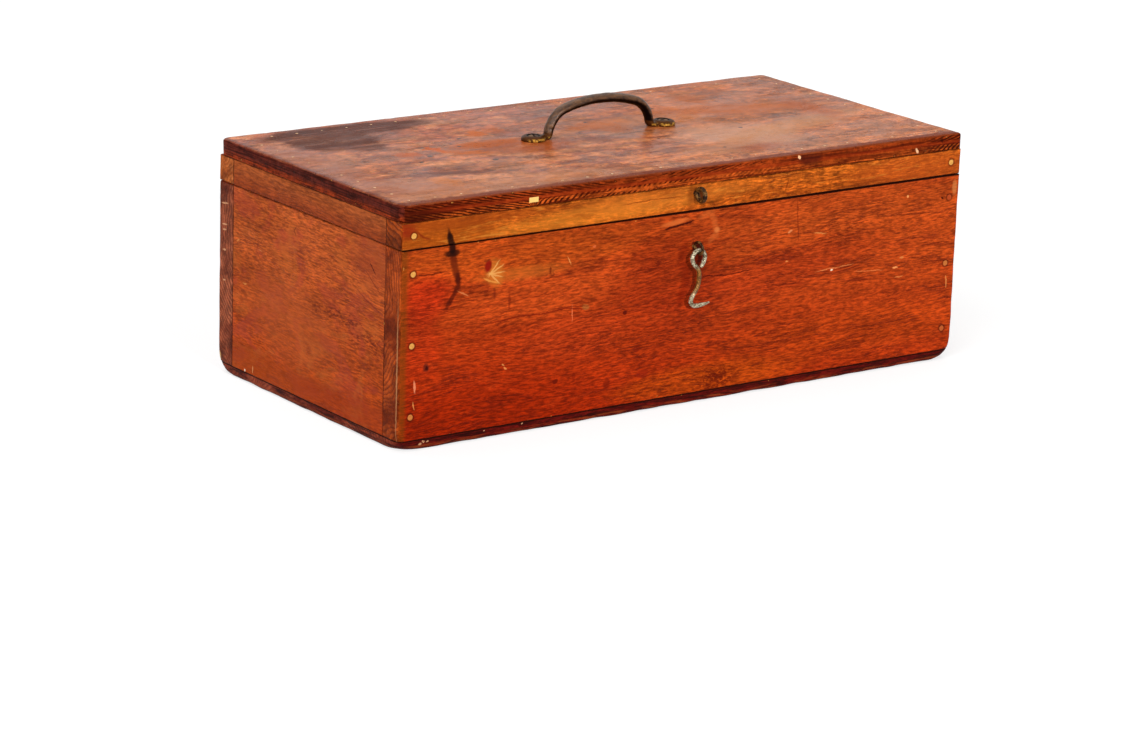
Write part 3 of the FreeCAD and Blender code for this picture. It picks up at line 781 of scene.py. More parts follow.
    # painted shadow of the hook to its left, painted shade seen through its loop and its eye's
    # ring, and painted shade in the gap under the lid
    marks.run(((-8, 117), (-9.6, 109), (-6, 99), (-6, 89), (-9.6, 80)), 2.8, (104, 8, 2), 0.4, 0.8)
    mark(4.6, 108.4, 4.2, 4.4, (72, 8, 4), 0.8, 0, 0.5)
    mark(3.6, 116.6, 4.6, 3.6, (50, 8, 4), 0.9, 0, 0.4)
    marks.colour = shade_gap(wood, marks.colour, 0.5, 0.6, 142.9, 143.3)
    bruise = wood.noise(wood.place, (5, 5, 3), 3, 0.7, 1, 41)
    patch = marks.mask(26, 15, 17, 7, 8, 0.6) * wood.ramp(bruise, 0.44, 0.54)
    colour = wood.painted(marks.colour, patch, (92, 18, 3), 0.8)
    return wood.varnished(wood.bared(colour), wood.ramp(wood.cloud, 0.3, 0.7, 0.5, 0.36))


def plain_board(name, node, grain, pith, seed, low_colour, high_colour, pore, end_dark, end_light,
                contrast=1, ring_share=0.16):
    """A board whose colour goes from low_colour at its foot to high_colour at its top."""
    wood = Wood(name, node, grain, pith, RING_WIDTH, seed)
    ground = wood.mix(wood.ramp(wood.z, wood.low.z, wood.high.z), low_colour, high_colour)
    colour = wood.grained_colour(ground, pore, ring_share, contrast)
    colour = wood.mix(wood.end_grain, colour, wood.end_colour(end_dark, end_light, 0.75))
    return wood, wood.rubbed(wood.seamed(colour, GRIME_AND_SHADE), RAW_WOOD, 2, 0.02)


def satin(wood, colour):
    return wood.varnished(wood.bared(colour), wood.ramp(wood.cloud, 0.3, 0.7, 0.52, 0.38))


def back_board_material():
    wood, colour = plain_board("back_board_wood", "case_back_board", "X", (40, 118), 23,
                               (152, 40, 8), (178, 66, 22), (84, 18, 6), (92, 34, 20),
                               (170, 90, 58))
    marks = Marks(wood, colour, "left")
    for z, half_length in ((127.7, 4.4), (111.8, 3.2), (108, 2.4), (93, 2), (70, 1.6)):
        marks.add(113, z, half_length, 0.6, (226, 164, 120), 0.75, -6)
    marks.add(120, 11, 2.6, 4, (224, 176, 110), 0.85)
    left_end = wood.end_grain * wood.ramp(wood.x, 1, -1)
    return satin(wood, wood.mix(left_end, colour, marks.colour))


def end_board_material(name, node, seed):
    wood, colour = plain_board(name, node, "Y", (-170, 60), seed, (172, 66, 16), (182, 84, 34),
                               (104, 32, 14), (112, 46, 22), (158, 84, 44), 1, 0.1)
    # rosy clouds, and orange between them
    rosy = wood.noise(wood.place, (60, 44, 26), 4, 0.65, 0.8, seed + 31)
    colour = wood.patchy(colour, rosy, 0.5, 0.62, (168, 62, 40), 0.5)
    gold = wood.noise(wood.place, (60, 50, 30), 4, 0.65, 0.8, seed + 33)
    colour = wood.patchy(colour, gold, 0.52, 0.66, (194, 98, 40), 0.5)
    if node == "case_right_end":
        return satin(wood, colour)
    marks = Marks(wood, colour, "left")
    mark = marks.add
    mark(60, 16, 70, 9, (158, 62, 14), 0.6, 0, 0.8)
    mark(-60, 16, 50, 9, (158, 54, 16), 0.6, 0, 0.8)
    mark(-86, 128, 20, 14, (150, 58, 32), 0.5, 0, 0.8)
    mark(20, 60, 44, 22, (184, 88, 42), 0.4, 10, 0.9)
    mark(94, 104, 2.2, 0.6, PALE_SCRATCH, 0.6, -30)
    mark(84, 73.7, 2.6, 0.6, PALE_SCRATCH, 0.7)
    mark(83, 8.8, 0.8, 1, (250, 226, 196), 0.9)
    mark(63, 103, 2.4, 0.5, (216, 124, 76), 0.6)
    mark(72, 12, 0.5, 2.6, (232, 170, 110), 0.7)
    marks.run(((15, 130.4), (17.6, 127.6), (15.4, 125)), 0.4, (96, 28, 12), 0.7)
    marks.run(((-82, 126.4), (-85.5, 123), (-88, 120.6)), 0.45, (64, 14, 8), 0.9)
    marks.run(((-78, 119), (-86, 113.5), (-94, 108)), 0.35, (104, 34, 16), 0.7)
    marks.run(((-66, 104), (-76, 100), (-92, 95)), 0.35, (104, 34, 16), 0.6)
    marks.run(((66, 110), (68, 102), (64, 97)), 0.5, (120, 44, 20), 0.5)
    # short checks along the grain, below the middle on the right
    checks = wood.noise(wood.grained, (5, 1.5, 1.5), 3, 0.6, 0, seed + 35)
    belt = wood.most(marks.mask(-42, 79, 34, 5, -2, 0.7), marks.mask(-84, 70, 24, 6, 0, 0.7))
    belt = belt * wood.ramp(checks, 0.5, 0.6)
    colour = wood.painted(marks.colour, belt, (92, 28, 14), 0.7)
    return satin(wood, colour)


def long_rail_material(name, node, seed, side):
    wood = Wood(name, node, "X", (60 * side, 93), RING_WIDTH, seed)
    wood.spreads = (0.13, 0.42, 0.32, 0.46)
    ground = wood.mix(wood.ramp(wood.z, 144, 162), (178, 82, 19), (184, 90, 23))
    colour = wood.grained_colour(ground, (104, 34, 8), 0.2)
    marks = Marks(wood, colour, "front")
    mark = marks.add
    mark(-88, 150, 70, 5, (214, 126, 36), 0.5, 1, 0.8)
    mark(-30, 156, 60, 5, (206, 112, 36), 0.5, 0, 0.8)
    mark(-226, 150, 40, 9, (160, 74, 12), 0.6, 0, 0.8)
    mark(-215, 160, 60, 4, (150, 60, 12), 0.6, 0, 0.8)
    mark(205, 152, 44, 9, (172, 70, 20), 0.6, 0, 0.8)
    mark(-247, 157, 7, 5, (130, 22, 10), 0.7, 0, 0.7)
    smoke = wood.noise(wood.grained, (34, 5, 5), 4, 0.7, 0.6, seed + 20)
    colour = wood.patchy(marks.colour, smoke, 0.5, 0.66, (136, 56, 10), 0.5)
    gold = wood.noise(wood.grained, (30, 4, 4), 4, 0.7, 0.5, seed + 21)
    colour = wood.patchy(colour, gold, 0.56, 0.7, (226, 140, 50), 0.45)
    end_tints = ((78, 26, 4), (166, 70, 16))
    if node == "lid_back_rail":
        end_tints = ((146, 68, 26), (216, 122, 60))
    colour = wood.mix(wood.end_grain, colour, wood.end_colour(*end_tints, 0.75))
    marks = Marks(wood, wood.seamed(colour, GRIME_AND_SHADE), "front")
    if node == "lid_front_rail":
        mark = marks.add
        # painted shade seen through the catch eye's ring, and a darker brown patch left of the eye:
        # dirt and painted shadow
        mark(4.4, 154.4, 3.8, 3.6, (58, 20, 8), 0.85, 0, 0.4)
        mark(-3, 155, 3.4, 6, (112, 48, 12), 0.6, 0, 0.7)
        # painted shade along the lid's gap
        marks.colour = shade_gap(wood, marks.colour, -0.4, -0.6, 143.8, 143.4)
        marks.peg_rims("lid_rail_pegs", 0.3)
        marks.run(((-211.8, 153), (-211.2, 149)), 1.3, (70, 26, 8), 0.8, 0.5)
        marks.run(((-211, 149.6), (-209.8, 145), (-208.6, 142)), 2.5, BLACK_STAIN, 0.95, 0.3)
        marks.run(((-237, 155), (-232, 151), (-228, 149.5)), 0.6, (122, 34, 8), 0.7)
        marks.run(((84.6, 156.4), (82.8, 150.6)), 0.5, (116, 40, 8), 0.7)
        marks.run(((-60, 155), (-36, 155.8), (-12, 155)), 0.4, (126, 50, 12), 0.7)
    return satin(wood, marks.colour)


def short_rail_material(name, node, seed):
    wood, colour = plain_board(name, node, "Y", (-230, 260), seed, (150, 62, 24), (170, 84, 38),
                               (92, 30, 12), (112, 46, 16), (164, 90, 42), 0.75)
    return satin(wood, colour)


def bottom_material():
    wood, colour = plain_board("bottom_wood", "bottom_board", "X", (0, -60), 57, (98, 18, 8),
                               (86, 13, 8), (40, 8, 6), (96, 30, 18), (150, 70, 44))
    # streaks of dirt along the edge, and a paler line low down in patches: rubbed wear and painted
    # highlight
    streaks = wood.noise(wood.place, (30, 30, 2.6), 4, 0.7, 0.4, 63)
    colour = wood.patchy(colour, streaks, 0.47, 0.6, (36, 6, 5), 0.85)
    rubs_and_highlight = wood.noise(wood.place, (20, 20, 1.8), 3, 0.6, 0.4, 65)
    low_down = wood.ramp(wood.z, 4.2, 2.6) * wood.ramp(rubs_and_highlight, 0.46, 0.6)
    colour = wood.painted(colour, low_down, (152, 66, 30), 0.6)
    # painted shade: nearly black along the lowest edge, next to the floor
    colour = wood.patchy(colour, wood.z, 1.4, 0.5, (34, 8, 5), 0.85)
    # dirt and painted shade in the seam under the boards that stand on it
    seam = wood.ramp(wood.z, wood.high.z - 1, wood.high.z - 0.4)
    colour = wood.painted(colour, seam, GRIME_AND_SHADE, 0.9)
    fine = Marks(wood, colour, "front")
    for x, z, size in ((-232, 4.2, 1.1), (-229, 5.4, 0.8), (-225.6, 5, 0.9), (-230, 6.2, 0.5),
                       (-178, 5.6, 0.6), (-146, 6.2, 0.7)):
        fine.add(x, z, size, size * 0.6, (214, 158, 116), 0.8, 20, 0.6)
    return satin(wood, fine.colour)


def top_material():
    wood = Wood("top_wood", "lid_top_board", "X", (-30, 100), TOP_RING_WIDTH, 71)
    wood.spreads = (0.2, 0.1, 0.3, 0.16)
    # brown varnish, paler towards the front, with orange, peach and mauve patches
    dull = wood.mix(wood.ramp(wood.y, 110, -90), (172, 88, 50), (200, 114, 62))
    peach = wood.noise(wood.place, (34, 20, 20), 4, 0.58, 1.2, 81)
    colour = wood.patchy(dull, peach, 0.46, 0.6, (208, 134, 88), 0.6)
    mauve = wood.noise(wood.place, (34, 18, 18), 4, 0.6, 1.2, 83)
    colour = wood.patchy(colour, mauve, 0.48, 0.58, (144, 66, 42), 0.65)
    # calmer and more golden on the right
    colour = wood.patchy(colour, wood.x, -20, 120, (190, 104, 46), 0.5)
    blotch = wood.noise(wood.place, (22, 13, 13), 3, 0.55, 0.8, 85)
    colour = wood.lit(colour, wood.ramp(blotch, 0.34, 0.66, 0.78, 1.22))
    ground = Marks(wood, wood.grained_colour(colour, (74, 24, 14), 0.06), "top")
    wide = wood.warped(wood.vector("MULTIPLY", wood.place, (0.45, 1, 1)), 7, 12)
    wide = wood.vector("MULTIPLY", wood.warped(wide, 2, 4), (1 / 0.45, 1, 1))
    ground.place = wood.parts(wide)
    mark = ground.add
    # paler, worn varnish
    mark(96, -46, 34, 26, (202, 140, 104), 0.75, -30, 0.8)
    mark(150, -40, 60, 12, (202, 128, 70), 0.65, 14, 0.8)
    mark(70, -78, 40, 12, (190, 122, 80), 0.65, 0, 0.8)
    mark(-232, -10, 12, 80, (170, 98, 68), 0.6, 0, 0.8)
    mark(-150, -100, 90, 12, (186, 110, 58), 0.6, 0, 0.8)
    mark(-206, -78, 22, 16, (186, 112, 76), 0.6, -30, 0.8)
    # orange patches, without gloss
    mark(140, 30, 56, 14, (188, 92, 22), 0.75, -16, 0.6, 0.6)
    mark(66, 22, 34, 14, (196, 108, 40), 0.65, -10, 0.7, 0.5)
    mark(134, 68, 16, 12, (182, 90, 30), 0.65, 30, 0.6, 0.3)
    mark(204, 0, 10, 34, (178, 82, 26), 0.6, 0, 0.7, 0.3)
    mark(-133, 14, 4.6, 11, (206, 92, 24), 0.95, 6, 0.25, 0.9)
    mark(-76, 46, 8, 8, (204, 100, 32), 0.9, 30, 0.35, 0.8)
    mark(-58, 50, 7, 6, (196, 96, 36), 0.7, 30, 0.5, 0.5)
    mark(-160, 10, 11, 7, (192, 90, 36), 0.8, -30, 0.4, 0.7)
    mark(-118, -2, 18, 6, (200, 98, 28), 0.8, -28, 0.5, 0.7)
    mark(-90, 14, 26, 9, (190, 92, 28), 0.9, 0, 0.6, 1)
    mark(-66, -6, 26, 16, (176, 84, 32), 0.65, 0, 0.8, 0.7)
    mark(15, 28, 20, 9, (194, 98, 30), 0.75, 10, 0.6, 0.7)
    mark(25, 12, 12, 12, (192, 98, 32), 0.75, 0, 0.6, 0.7)
    mark(-182, -72, 9, 10, (202, 110, 36), 0.8, 14, 0.6, 0.4)
    mark(84, -88, 18, 7, (160, 66, 24), 0.6, 10, 0.7, 0.3)
    mark(-222, 108, 12, 6, (198, 102, 60), 0.85, 50, 0.5, 0.4)
    # soot and dirt
    mark(-178, -50, 18, 6, (92, 38, 26), 0.65, -10, 0.6)
    mark(-150, -54, 8, 4, (92, 40, 28), 0.65, -30, 0.6)
    mark(-4, -12, 22, 6, (112, 54, 36), 0.5, -10, 0.7)
    stain = wood.most(ground.mask(-158, 98, 74, 17, 0, 0.2),
                      ground.mask(-184, 74, 36, 34, 12, 0.2))
    stain = wood.most(stain, ground.mask(-172, 44, 14, 12, 20, 0.4))
    stain = stain * wood.ramp(wood.band, 0.34, 0.54, 0.6, 1)
    colour = wood.painted(ground.colour, stain, (80, 28, 6), 0.92)
    grit = wood.noise(wood.place, (3.4, 2.8, 3), 3, 0.7, 0.4, 87)
    dusty = wood.noise(wood.place, (60, 40, 30), 2, 0.5, 0, 89)
    grit = wood.ramp(grit, 0.6, 0.66) * wood.ramp(dusty, 0.42, 0.54)
    colour = wood.painted(colour, grit, (84, 24, 10), 0.6)
    fine = Marks(wood, colour, "top")
    for x, y, size in ((-97, 38, 1.8), (-112, 16, 1.6), (-148, -1, 2.6), (-164, -14, 2.2),
                       (-112, -31, 2.6), (112, -28, 1.8), (44, -26, 1.4), (34, -30, 1.2),
                       (92, 56, 2), (18, 40, 1.8), (-6, 14, 1.2), (60, -76, 1.4)):
        fine.add(x, y, size, size * 0.8, (40, 10, 6), 0.9, 30, 0.4)
    # brown and broken varnish along the front arris
    front = wood.straight(wood.lumps, 10, wood.y)
    colour = wood.patchy(fine.colour, front, -104, -109, (118, 42, 12), 0.85)
    left = wood.straight(wood.lumps, 6, wood.x)
    colour = wood.patchy(colour, left, -240, -244, (110, 40, 18), 0.7)
    colour = wood.mix(wood.flat, edge_colour(wood), colour)
    colour = wood.rubbed(wood.seamed(colour, GRIME_AND_SHADE, 1.2, 0.5), (70, 18, 6), 3.4, 0.5)
    colour = wood.rubbed(colour, RAW_WOOD, 2.6, 0.1)
    under = wood.ramp(wood.z, wood.low.z + 2, wood.low.z + 1)
    colour = wood.bared(colour, under)
    matt = wood.most(ground.matt, stain * 0.95)
    matt = wood.most(matt, grit * 0.8)
    gloss = wood.straight(matt, -1, 1) * wood.flat
    gloss = gloss * wood.ramp(front, -109, -104)
    haze = wood.noise(wood.place, (60, 36, 36), 4, 0.55, 0.8, 97)
    gloss = gloss * wood.ramp(haze, 0.38, 0.62, 0.3, 1.7)
    specular = wood.straight(gloss, 0.052, 0.01)
    return wood.varnished(colour, wood.ramp(peach, 0.35, 0.65, 0.18, 0.3), specular)


def edge_colour(wood):
    """The top board's edges: slanting dark growth lines, which turn over along the front."""
    front = wood.mix(wood.ramp(wood.z, wood.low.z + 2, wood.high.z - 3), (170, 72, 22),
                     (146, 54, 16))
    front = wood.grained_colour(front, (66, 16, 4), 0, 1.2)
    # which way the lines lean, in the edge's lower and upper half
    lower = wood.ramp(wood.x, -146, -138, -1, 1)
    upper = wood.ramp(wood.x, -90, -20, -1, 1)
    half = wood.ramp(wood.z, 168.2, 169.4)
    lean = lower + half * (upper - lower)
    bend = wood.noise(wood.place, (26, 26, 7), 3, 0.6, 0, 91)
    rise = (wood.z - 168.8) * lean
    steep = wood.straight(half, -1, 1) * wood.ramp(wood.x, -142, -141)
    phase = wood.x * wood.straight(steep, 0.1, 0.12) - rise * wood.straight(steep, -0.2, 0.5)
    phase = phase + bend * 1.6
    wave = wood.math("SINE", phase * (2 * math.pi))
    lines = wood.ramp(wave, -0.3, 0.4)
    clump = wood.noise(wood.place, (40, 40, 3.4), 2, 0.5, 0, 93)
    strong = wood.most(wood.ramp(wood.x, -60, -150), wood.ramp(wood.x, 205, 235))
    clump = wood.ramp(clump, 0.4, 0.56) * wood.ramp(wood.x, 130, -10)
    strong = wood.most(clump, strong)
    belt = abs(wood.z - 168.9)
    strong = strong * wood.ramp(belt, 0.3, 1.2)
    front = wood.painted(front, lines * strong, (46, 9, 2), 0.95)
    # long dark layers
    layer = wood.noise(wood.place, (46, 46, 1.6), 3, 0.6, 0.3, 94)
    layer = wood.straight(wood.ramp(wood.x, 20, 150), 0.05, layer)
    front = wood.patchy(front, layer, 0.53, 0.6, (76, 16, 5), 0.75)
    front = wood.patchy(front, belt, 1.8, 0.8, (134, 36, 10), 0.5)
    marks = Marks(wood, front, "front")
    marks.add(-250, 167, 26, 5, (52, 10, 4), 0.8, 0, 0.6)
    marks.add(104, 170.4, 9, 4, (60, 18, 12), 0.7, 0, 0.6)
    for x, z, half_length in ((94, 172.6, 1.6), (206.2, 165.5, 2)):
        marks.add(x, z, half_length, 1, (250, 190, 140), 0.95, -60)
    marks.add(230, 171, 1.4, 1.4, (40, 8, 4), 0.8)
    # a small pale patch let into the edge
    off = wood.vector("SUBTRACT", wood.place, (-141.4, wood.low.y, 167.4))
    off = wood.parts(wood.vector("DIVIDE", off, (3.9, 8, 1.8)))
    off = wood.most(abs(off[0]), abs(off[2]))
    patch = wood.ramp(off, 1.06, 0.94) * wood.ramp(wood.y, 1, -1)
    front = wood.painted(marks.colour, patch, (246, 200, 116))
    layers = wood.noise(wood.place, (2, 34, 1.2), 4, 0.7, 0.3, 95)
    ends = wood.mix(wood.ramp(wood.z, wood.low.z + 2, wood.low.z + 6), (146, 52, 20), (92, 34, 24))
    ends = wood.patchy(ends, layers, 0.44, 0.58, (40, 8, 4), 0.8)
    ends = wood.lit(ends, wood.ramp(wood.lumps, 0.34, 0.66, 0.6, 1.5))
    return wood.mix(wood.end_grain, front, ends)


def peg_material(name, light, dark):
    """End grain of a split peg, dirty round its rim, and darker the higher its tone."""
    shader = Shader(name)
    grain = shader.noise(shader.place, (0.5, 0.5, 0.5), 3, 0.6)
    colour = shader.mix(shader.ramp(grain, 0.3, 0.7), dark, light)
    tone = shader.attribute("tone")
    colour = shader.mix(shader.ramp(tone, 0.3, 1), colour, (172, 66, 22))
    colour = shader.mix(shader.ramp(shader.attribute("rim"), 0.86, 1), colour, (60, 18, 6))
    return shader.surface(colour, 0.55, grain, 0.2, 0, 0.1)


# Metal --------------------------------------------------------------------------------------

def metal(name, dark, light, rust, rust_from, roughness=(0.35, 0.6), lump=1.6, bump=0.5,
          metallic=0.9, specular=0.5):
    """Worn metal: dark and light patches, rust where its noise passes rust_from."""
    shader = Shader(name)
    patch = shader.noise(shader.place, (4, 4, 4), 4.0, 0.65, 0.5)
    colour = shader.mix(shader.ramp(patch, 0.36, 0.64), dark, light)
    spots = shader.noise(shader.place, (lump, lump, lump), 3.0, 0.6, 0.0, 5.0)
    mask = shader.ramp(spots, rust_from, rust_from + 0.1)
    colour = shader.mix(mask, colour, rust)
    rough = shader.ramp(patch, 0.3, 0.7, roughness[1], roughness[0])
    height = spots * 0.25 + patch * 0.2
    return shader.surface(colour, rough, height, bump, metallic, specular)


# Pieces -------------------------------------------------------------------------------------

def give(piece, material):
    piece.data.materials.clear()
    piece.data.materials.append(material)


def dress(piece, body, slot, material, *nodes):
    give(piece, material)
    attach(piece, body)
    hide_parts(*nodes)
    return piece


def add_case_boards():
    edges = (edges_with(ARRIS_RADIUS, "front left", "front right")
             | edges_with(SEAM_RADIUS, "top front", "top left", "top right"))
    front = worn_board("front_board", "case_front_board", edges, 1.4, 1.0)
    dress(front, "case", "front_wood", front_board_material(), "case_front_board")
    edges = (edges_with(ARRIS_RADIUS, "back left", "back right")
             | edges_with(SEAM_RADIUS, "top back", "top left", "top right"))
    back = worn_board("back_board", "case_back_board", edges, 1.4, 2.0)
    level = box_in_mm("case_back_board")[1].z
    hinge_mortises(back, "hinge_case_leaves", level - LEAF_THICKNESS, level + 1)
    dress(back, "case", "back_wood", back_board_material(), "case_back_board")
    for name, node, side, seed in (("left_end", "case_left_end", "left", 3.0),
                                   ("right_end", "case_right_end", "right", 4.0)):
        end = worn_board(name, node, edges_with(SEAM_RADIUS, "top " + side), 0.6, seed)
        dress(end, "case", "end_wood", end_board_material(name + "_wood", node, 40 + seed), node)
    edges = (edges_with(2.0, "front left", "front right", "back left", "back right")
             | edges_with(3.0, "bottom front", "bottom back", "bottom left", "bottom right"))
    bottom = worn_board("bottom", "bottom_board", edges, 0.5, 5.0)
    dress(bottom, "case", "bottom_wood", bottom_material(), "bottom_board")


def add_lid_boards():
    for name, node, side, seed in (("front_rail", "lid_front_rail", "front", 6.0),
                                   ("back_rail", "lid_back_rail", "back", 7.0)):
        edges = (edges_with(ARRIS_RADIUS, side + " left", side + " right")
                 | edges_with(SEAM_RADIUS, "bottom " + side, "bottom left", "bottom right",
                              "top " + side, "top left", "top right"))
        rail = worn_board(name, node, edges, 1.0, seed)
        if side == "back":
            level = box_in_mm(node)[0].z
            hinge_mortises(rail, "hinge_lid_leaves", level - 1, level + LEAF_THICKNESS)
        inward = 1 if side == "back" else -1
        dress(rail, "lid", "rail_wood", long_rail_material(name + "_wood", node, 50 + seed, inward),
              node)
    for name, node, side, seed in (("left_rail", "lid_left_rail", "left", 8.0),
                                   ("right_rail", "lid_right_rail", "right", 9.0)):
        rail = worn_board(name, node, edges_with(SEAM_RADIUS, "bottom " + side, "top " + side),
                          0.6, seed)
        dress(rail, "lid", "rail_wood", short_rail_material(name + "_wood", node, 60 + seed), node)
    edges = {"front left": 6.0, "front right": 3.0, "back left": 8.0, "back right": 6.0}
    for side in ("front", "back", "left", "right"):
        edges["top " + side] = 2.2
        edges["bottom " + side] = 0.7
    top = worn_board("top_board", "lid_top_board", edges, 2.4, 10.0)
    dress(top, "lid", "top_wood", top_material(), "lid_top_board")


def peg_mesh(centre, out, radius, length, sides, seed, proud):
    """A peg's points, faces and rim values: its outline uneven, its end slightly domed."""
    side = out.orthogonal().normalized()
    other = out.cross(side)
    profile = ((0.35, proud), (0.75, proud * 0.9), (0.93, proud * 0.5), (1.0, -proud),
               (1.0, -length))
    rings = []
    rims = []
    for share, height in profile:
        ring = []
        for cosine, sine in circle(sides):
            lump = 1 + 0.09 * noise.noise(Vector((cosine, sine, seed)))
            spoke = side * cosine + other * sine
            ring.append(centre + spoke * radius * share * lump + out * height)
            rims.append(share)
        rings.append(ring)
    points, faces = rings_to_mesh(rings[::-1])
    return points, faces, rims[::-1]


def add_pegs(name, node, body, slot, material, sides, proud, seed, given_tones=(), spread=0.0):
    """Pegs or pins in the places of a node's solids, from left to right and each with a tone."""
    draw = random.Random(seed)
    parts = []
    rims = []
    tones = []
    for index, (low, high) in enumerate(solids_of(node)):
        size = high - low
        axis = max(range(3), key=lambda which: size[which])
        across = min(size)
        centre = (low + high) / 2
        out = Vector((0, 0, 0))
        out[axis] = 1.0 if centre[axis] > 0 else -1.0
        centre[axis] = high[axis] if centre[axis] > 0 else low[axis]
        radius = across / 2 * draw.uniform(1 - spread, 1 + spread / 2)
        points, faces, peg_rims = peg_mesh(centre, out, radius, size[axis], sides,
                                           draw.uniform(0, 50), proud)
        parts.append((points, faces))
        rims += peg_rims
        tone = given_tones[index] if given_tones else draw.uniform(0, 0.6)
        tones += [tone] * len(points)
    piece = add_mesh(name, *joined(parts))
    add_point_value(piece.data, "rim", rims)
    add_point_value(piece.data, "tone", tones)
    dress(piece, body, slot, material, node)


def add_fasteners():
    pegs = peg_material("peg_wood", (232, 178, 92), (206, 138, 58))
    # low to high on the left, then on the right, where varnish has hidden the highest
    add_pegs("front_pegs", "case_front_pegs", "case", "peg_wood", pegs, PEG_SIDES, 0.18, 5,
             (0.7, 0.5, 0.45, 0.85, 0.75, 1.0))
    add_pegs("back_pegs", "case_back_pegs", "case", "peg_wood", pegs, PEG_SIDES, 0.18, 6)
    add_pegs("rail_pegs", "lid_rail_pegs", "lid", "peg_wood", pegs, PEG_SIDES, 0.18, 7)
    pins = peg_material("pin_wood", (255, 226, 184), (226, 168, 112))
    add_pegs("top_pins", "top_board_pins", "lid", "pin_wood", pins, 10, 0.1, 9, (), 0.45)


def from_node(name, node):
    """A new mesh with a CAD node's shape, its faces joined up."""
    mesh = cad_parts[node].data.copy()
    mesh.name = name
    mesh.materials.clear()
    piece = link_mesh(name, mesh)
    weld = piece.modifiers.new("weld", "WELD")
    weld.merge_threshold = 0.002 * MM
    return piece


def remesh(piece, voxel, smoothing):
    """One even skin over the piece, its corners softened."""
    skin = piece.modifiers.new("skin", "REMESH")
    skin.mode = "VOXEL"
    skin.voxel_size = voxel * MM
    soft = piece.modifiers.new("soft", "SMOOTH")
    soft.factor = 0.5
    soft.iterations = smoothing
    apply_modifiers(piece)


def hammer(piece, size, depth, seed, swell=0.0):
    """Uneven the surface, as forging, casting or rust leaves it, and swell it by so much."""
    mesh = piece.data
    moved = []
    for vertex in mesh.vertices:
        lump = noise.fractal(vertex.co / MM / size + Vector((seed, 0, 0)), 0.8, 2.0, 3)
        moved.extend(vertex.co + vertex.normal * (lump * depth + swell) * MM)
    mesh.vertices.foreach_set("co", moved)
    mesh.update()


def smooth_path(points, steps):
    """Points on a smooth curve through the given ones."""
    path = []
    ends = [points[0] * 2 - points[1], *points, points[-1] * 2 - points[-2]]
    for before, start, end, after in zip(ends, ends[1:], ends[2:], ends[3:]):
        for step in range(steps):
            t = step / steps
            path.append(0.5 * (start * 2 + (end - before) * t
                               + (before * 2 - start * 5 + end * 4 - after) * t ** 2
                               + (start * 3 - before - end * 3 + after) * t ** 3))
    return path + [points[-1]]


def hook_points():
    """The hook's wire from the loop's free end to the toe: x and z about the loop's centre, and
    the wire's radius."""
    points = [(1.9, -7.2, 1.1), (3.6, -5.6, 1.45)]
    for angle in range(-35, 206, 20):
        heading = math.radians(angle)
        points.append((LOOP_RADIUS * math.cos(heading), LOOP_RADIUS * math.sin(heading), 1.6))
    points += [(-3.7, -4.7, 1.6), (-1.0, -7.4, 1.65), (0.8, -10.3, 1.7), (1.1, -14.5, 1.75),
               (0.7, -19.0, 1.7), (-1.4, -23.6, 1.65), (-4.2, -27.6, 1.65), (-5.6, -30.4, 1.65),
               (-5.2, -33.0, 1.65), (-3.2, -34.9, 1.65), (0.0, -35.4, 1.6), (4.0, -35.3, 1.45),
               (8.0, -34.7, 1.15), (11.2, -34.1, 0.6)]
    return [Vector(point) for point in points]


def add_hook_and_eyes():
    low, high = box_in_mm("hook")
    centre = Vector((0, (low.y + high.y) / 2, high.z - LOOP_TOP))
    rings = []
    path = smooth_path(hook_points(), 5)
    for index, here in enumerate(path):
        ahead = path[min(index + 1, len(path) - 1)] - path[max(index - 1, 0)]
        across = Vector((-ahead.y, 0, ahead.x)).normalized()
        rings.append([centre + Vector((here.x, 0, here.y)) + across * here.z * cosine
                      + Vector((0, -here.z * sine, 0)) for cosine, sine in circle(WIRE_SIDES)])
    wire = add_mesh("hook_wire", *rings_to_mesh(rings))
    remesh(wire, 0.24, 3)
    hammer(wire, 1.8, 0.14, 3.0)
    dress(wire, "hook", "hook_steel", hook_material(), "hook")
    iron = metal("eye_iron", (34, 18, 8), (130, 92, 44), (50, 22, 10), 0.5, (0.3, 0.5), 1.0, 0.6,
                 0.25, 0.12)
    for name, node, body, swell in (("hook_eye_wire", "hook_screw_eye", "hook_eye", 0.05),
                                    ("catch_eye_wire", "catch_screw_eye", "lid", 0.8)):
        wire = from_node(name, node)
        remesh(wire, 0.22, 4)
        hammer(wire, 1.6, 0.12, 3.0, swell)
        dress(wire, body, "eye_iron", iron, node)


def hook_material():
    """Worn steel, brassy down the shank, with dark pits and painted shade on its right."""
    shader = Shader("hook_steel")
    patch = shader.noise(shader.place, (2.2, 2.2, 2.2), 4.0, 0.7, 0.6)
    steel = shader.mix(shader.ramp(patch, 0.38, 0.6), (92, 76, 50), (206, 198, 168))
    brass = shader.mix(shader.ramp(patch, 0.3, 0.7), (84, 50, 14), (164, 112, 44))
    high = shader.parts(shader.place)[2]
    shank = shader.ramp(high, 105, 101) * shader.ramp(high, 80, 88)
    colour = shader.mix(shank, steel, brass)
    pits = shader.noise(shader.place, (1.1, 1.1, 1.1), 3.0, 0.6, 0.0, 7.0)
    pitted = shader.ramp(pits, 0.52, 0.64) * shader.straight(shank, -0.5, 1.0)
    colour = shader.mix(pitted, colour, (66, 46, 26))
    # painted shade: browner on its right, the side turned from the light
    shaded_right = shader.ramp(shader.parts(shader.facing)[0], -0.1, 0.7, 0.0, 0.75)
    colour = shader.mix(shaded_right, colour, (82, 52, 24))
    return shader.surface(colour, 0.32, pits * -0.3, 0.6, 0.35, 0.3)


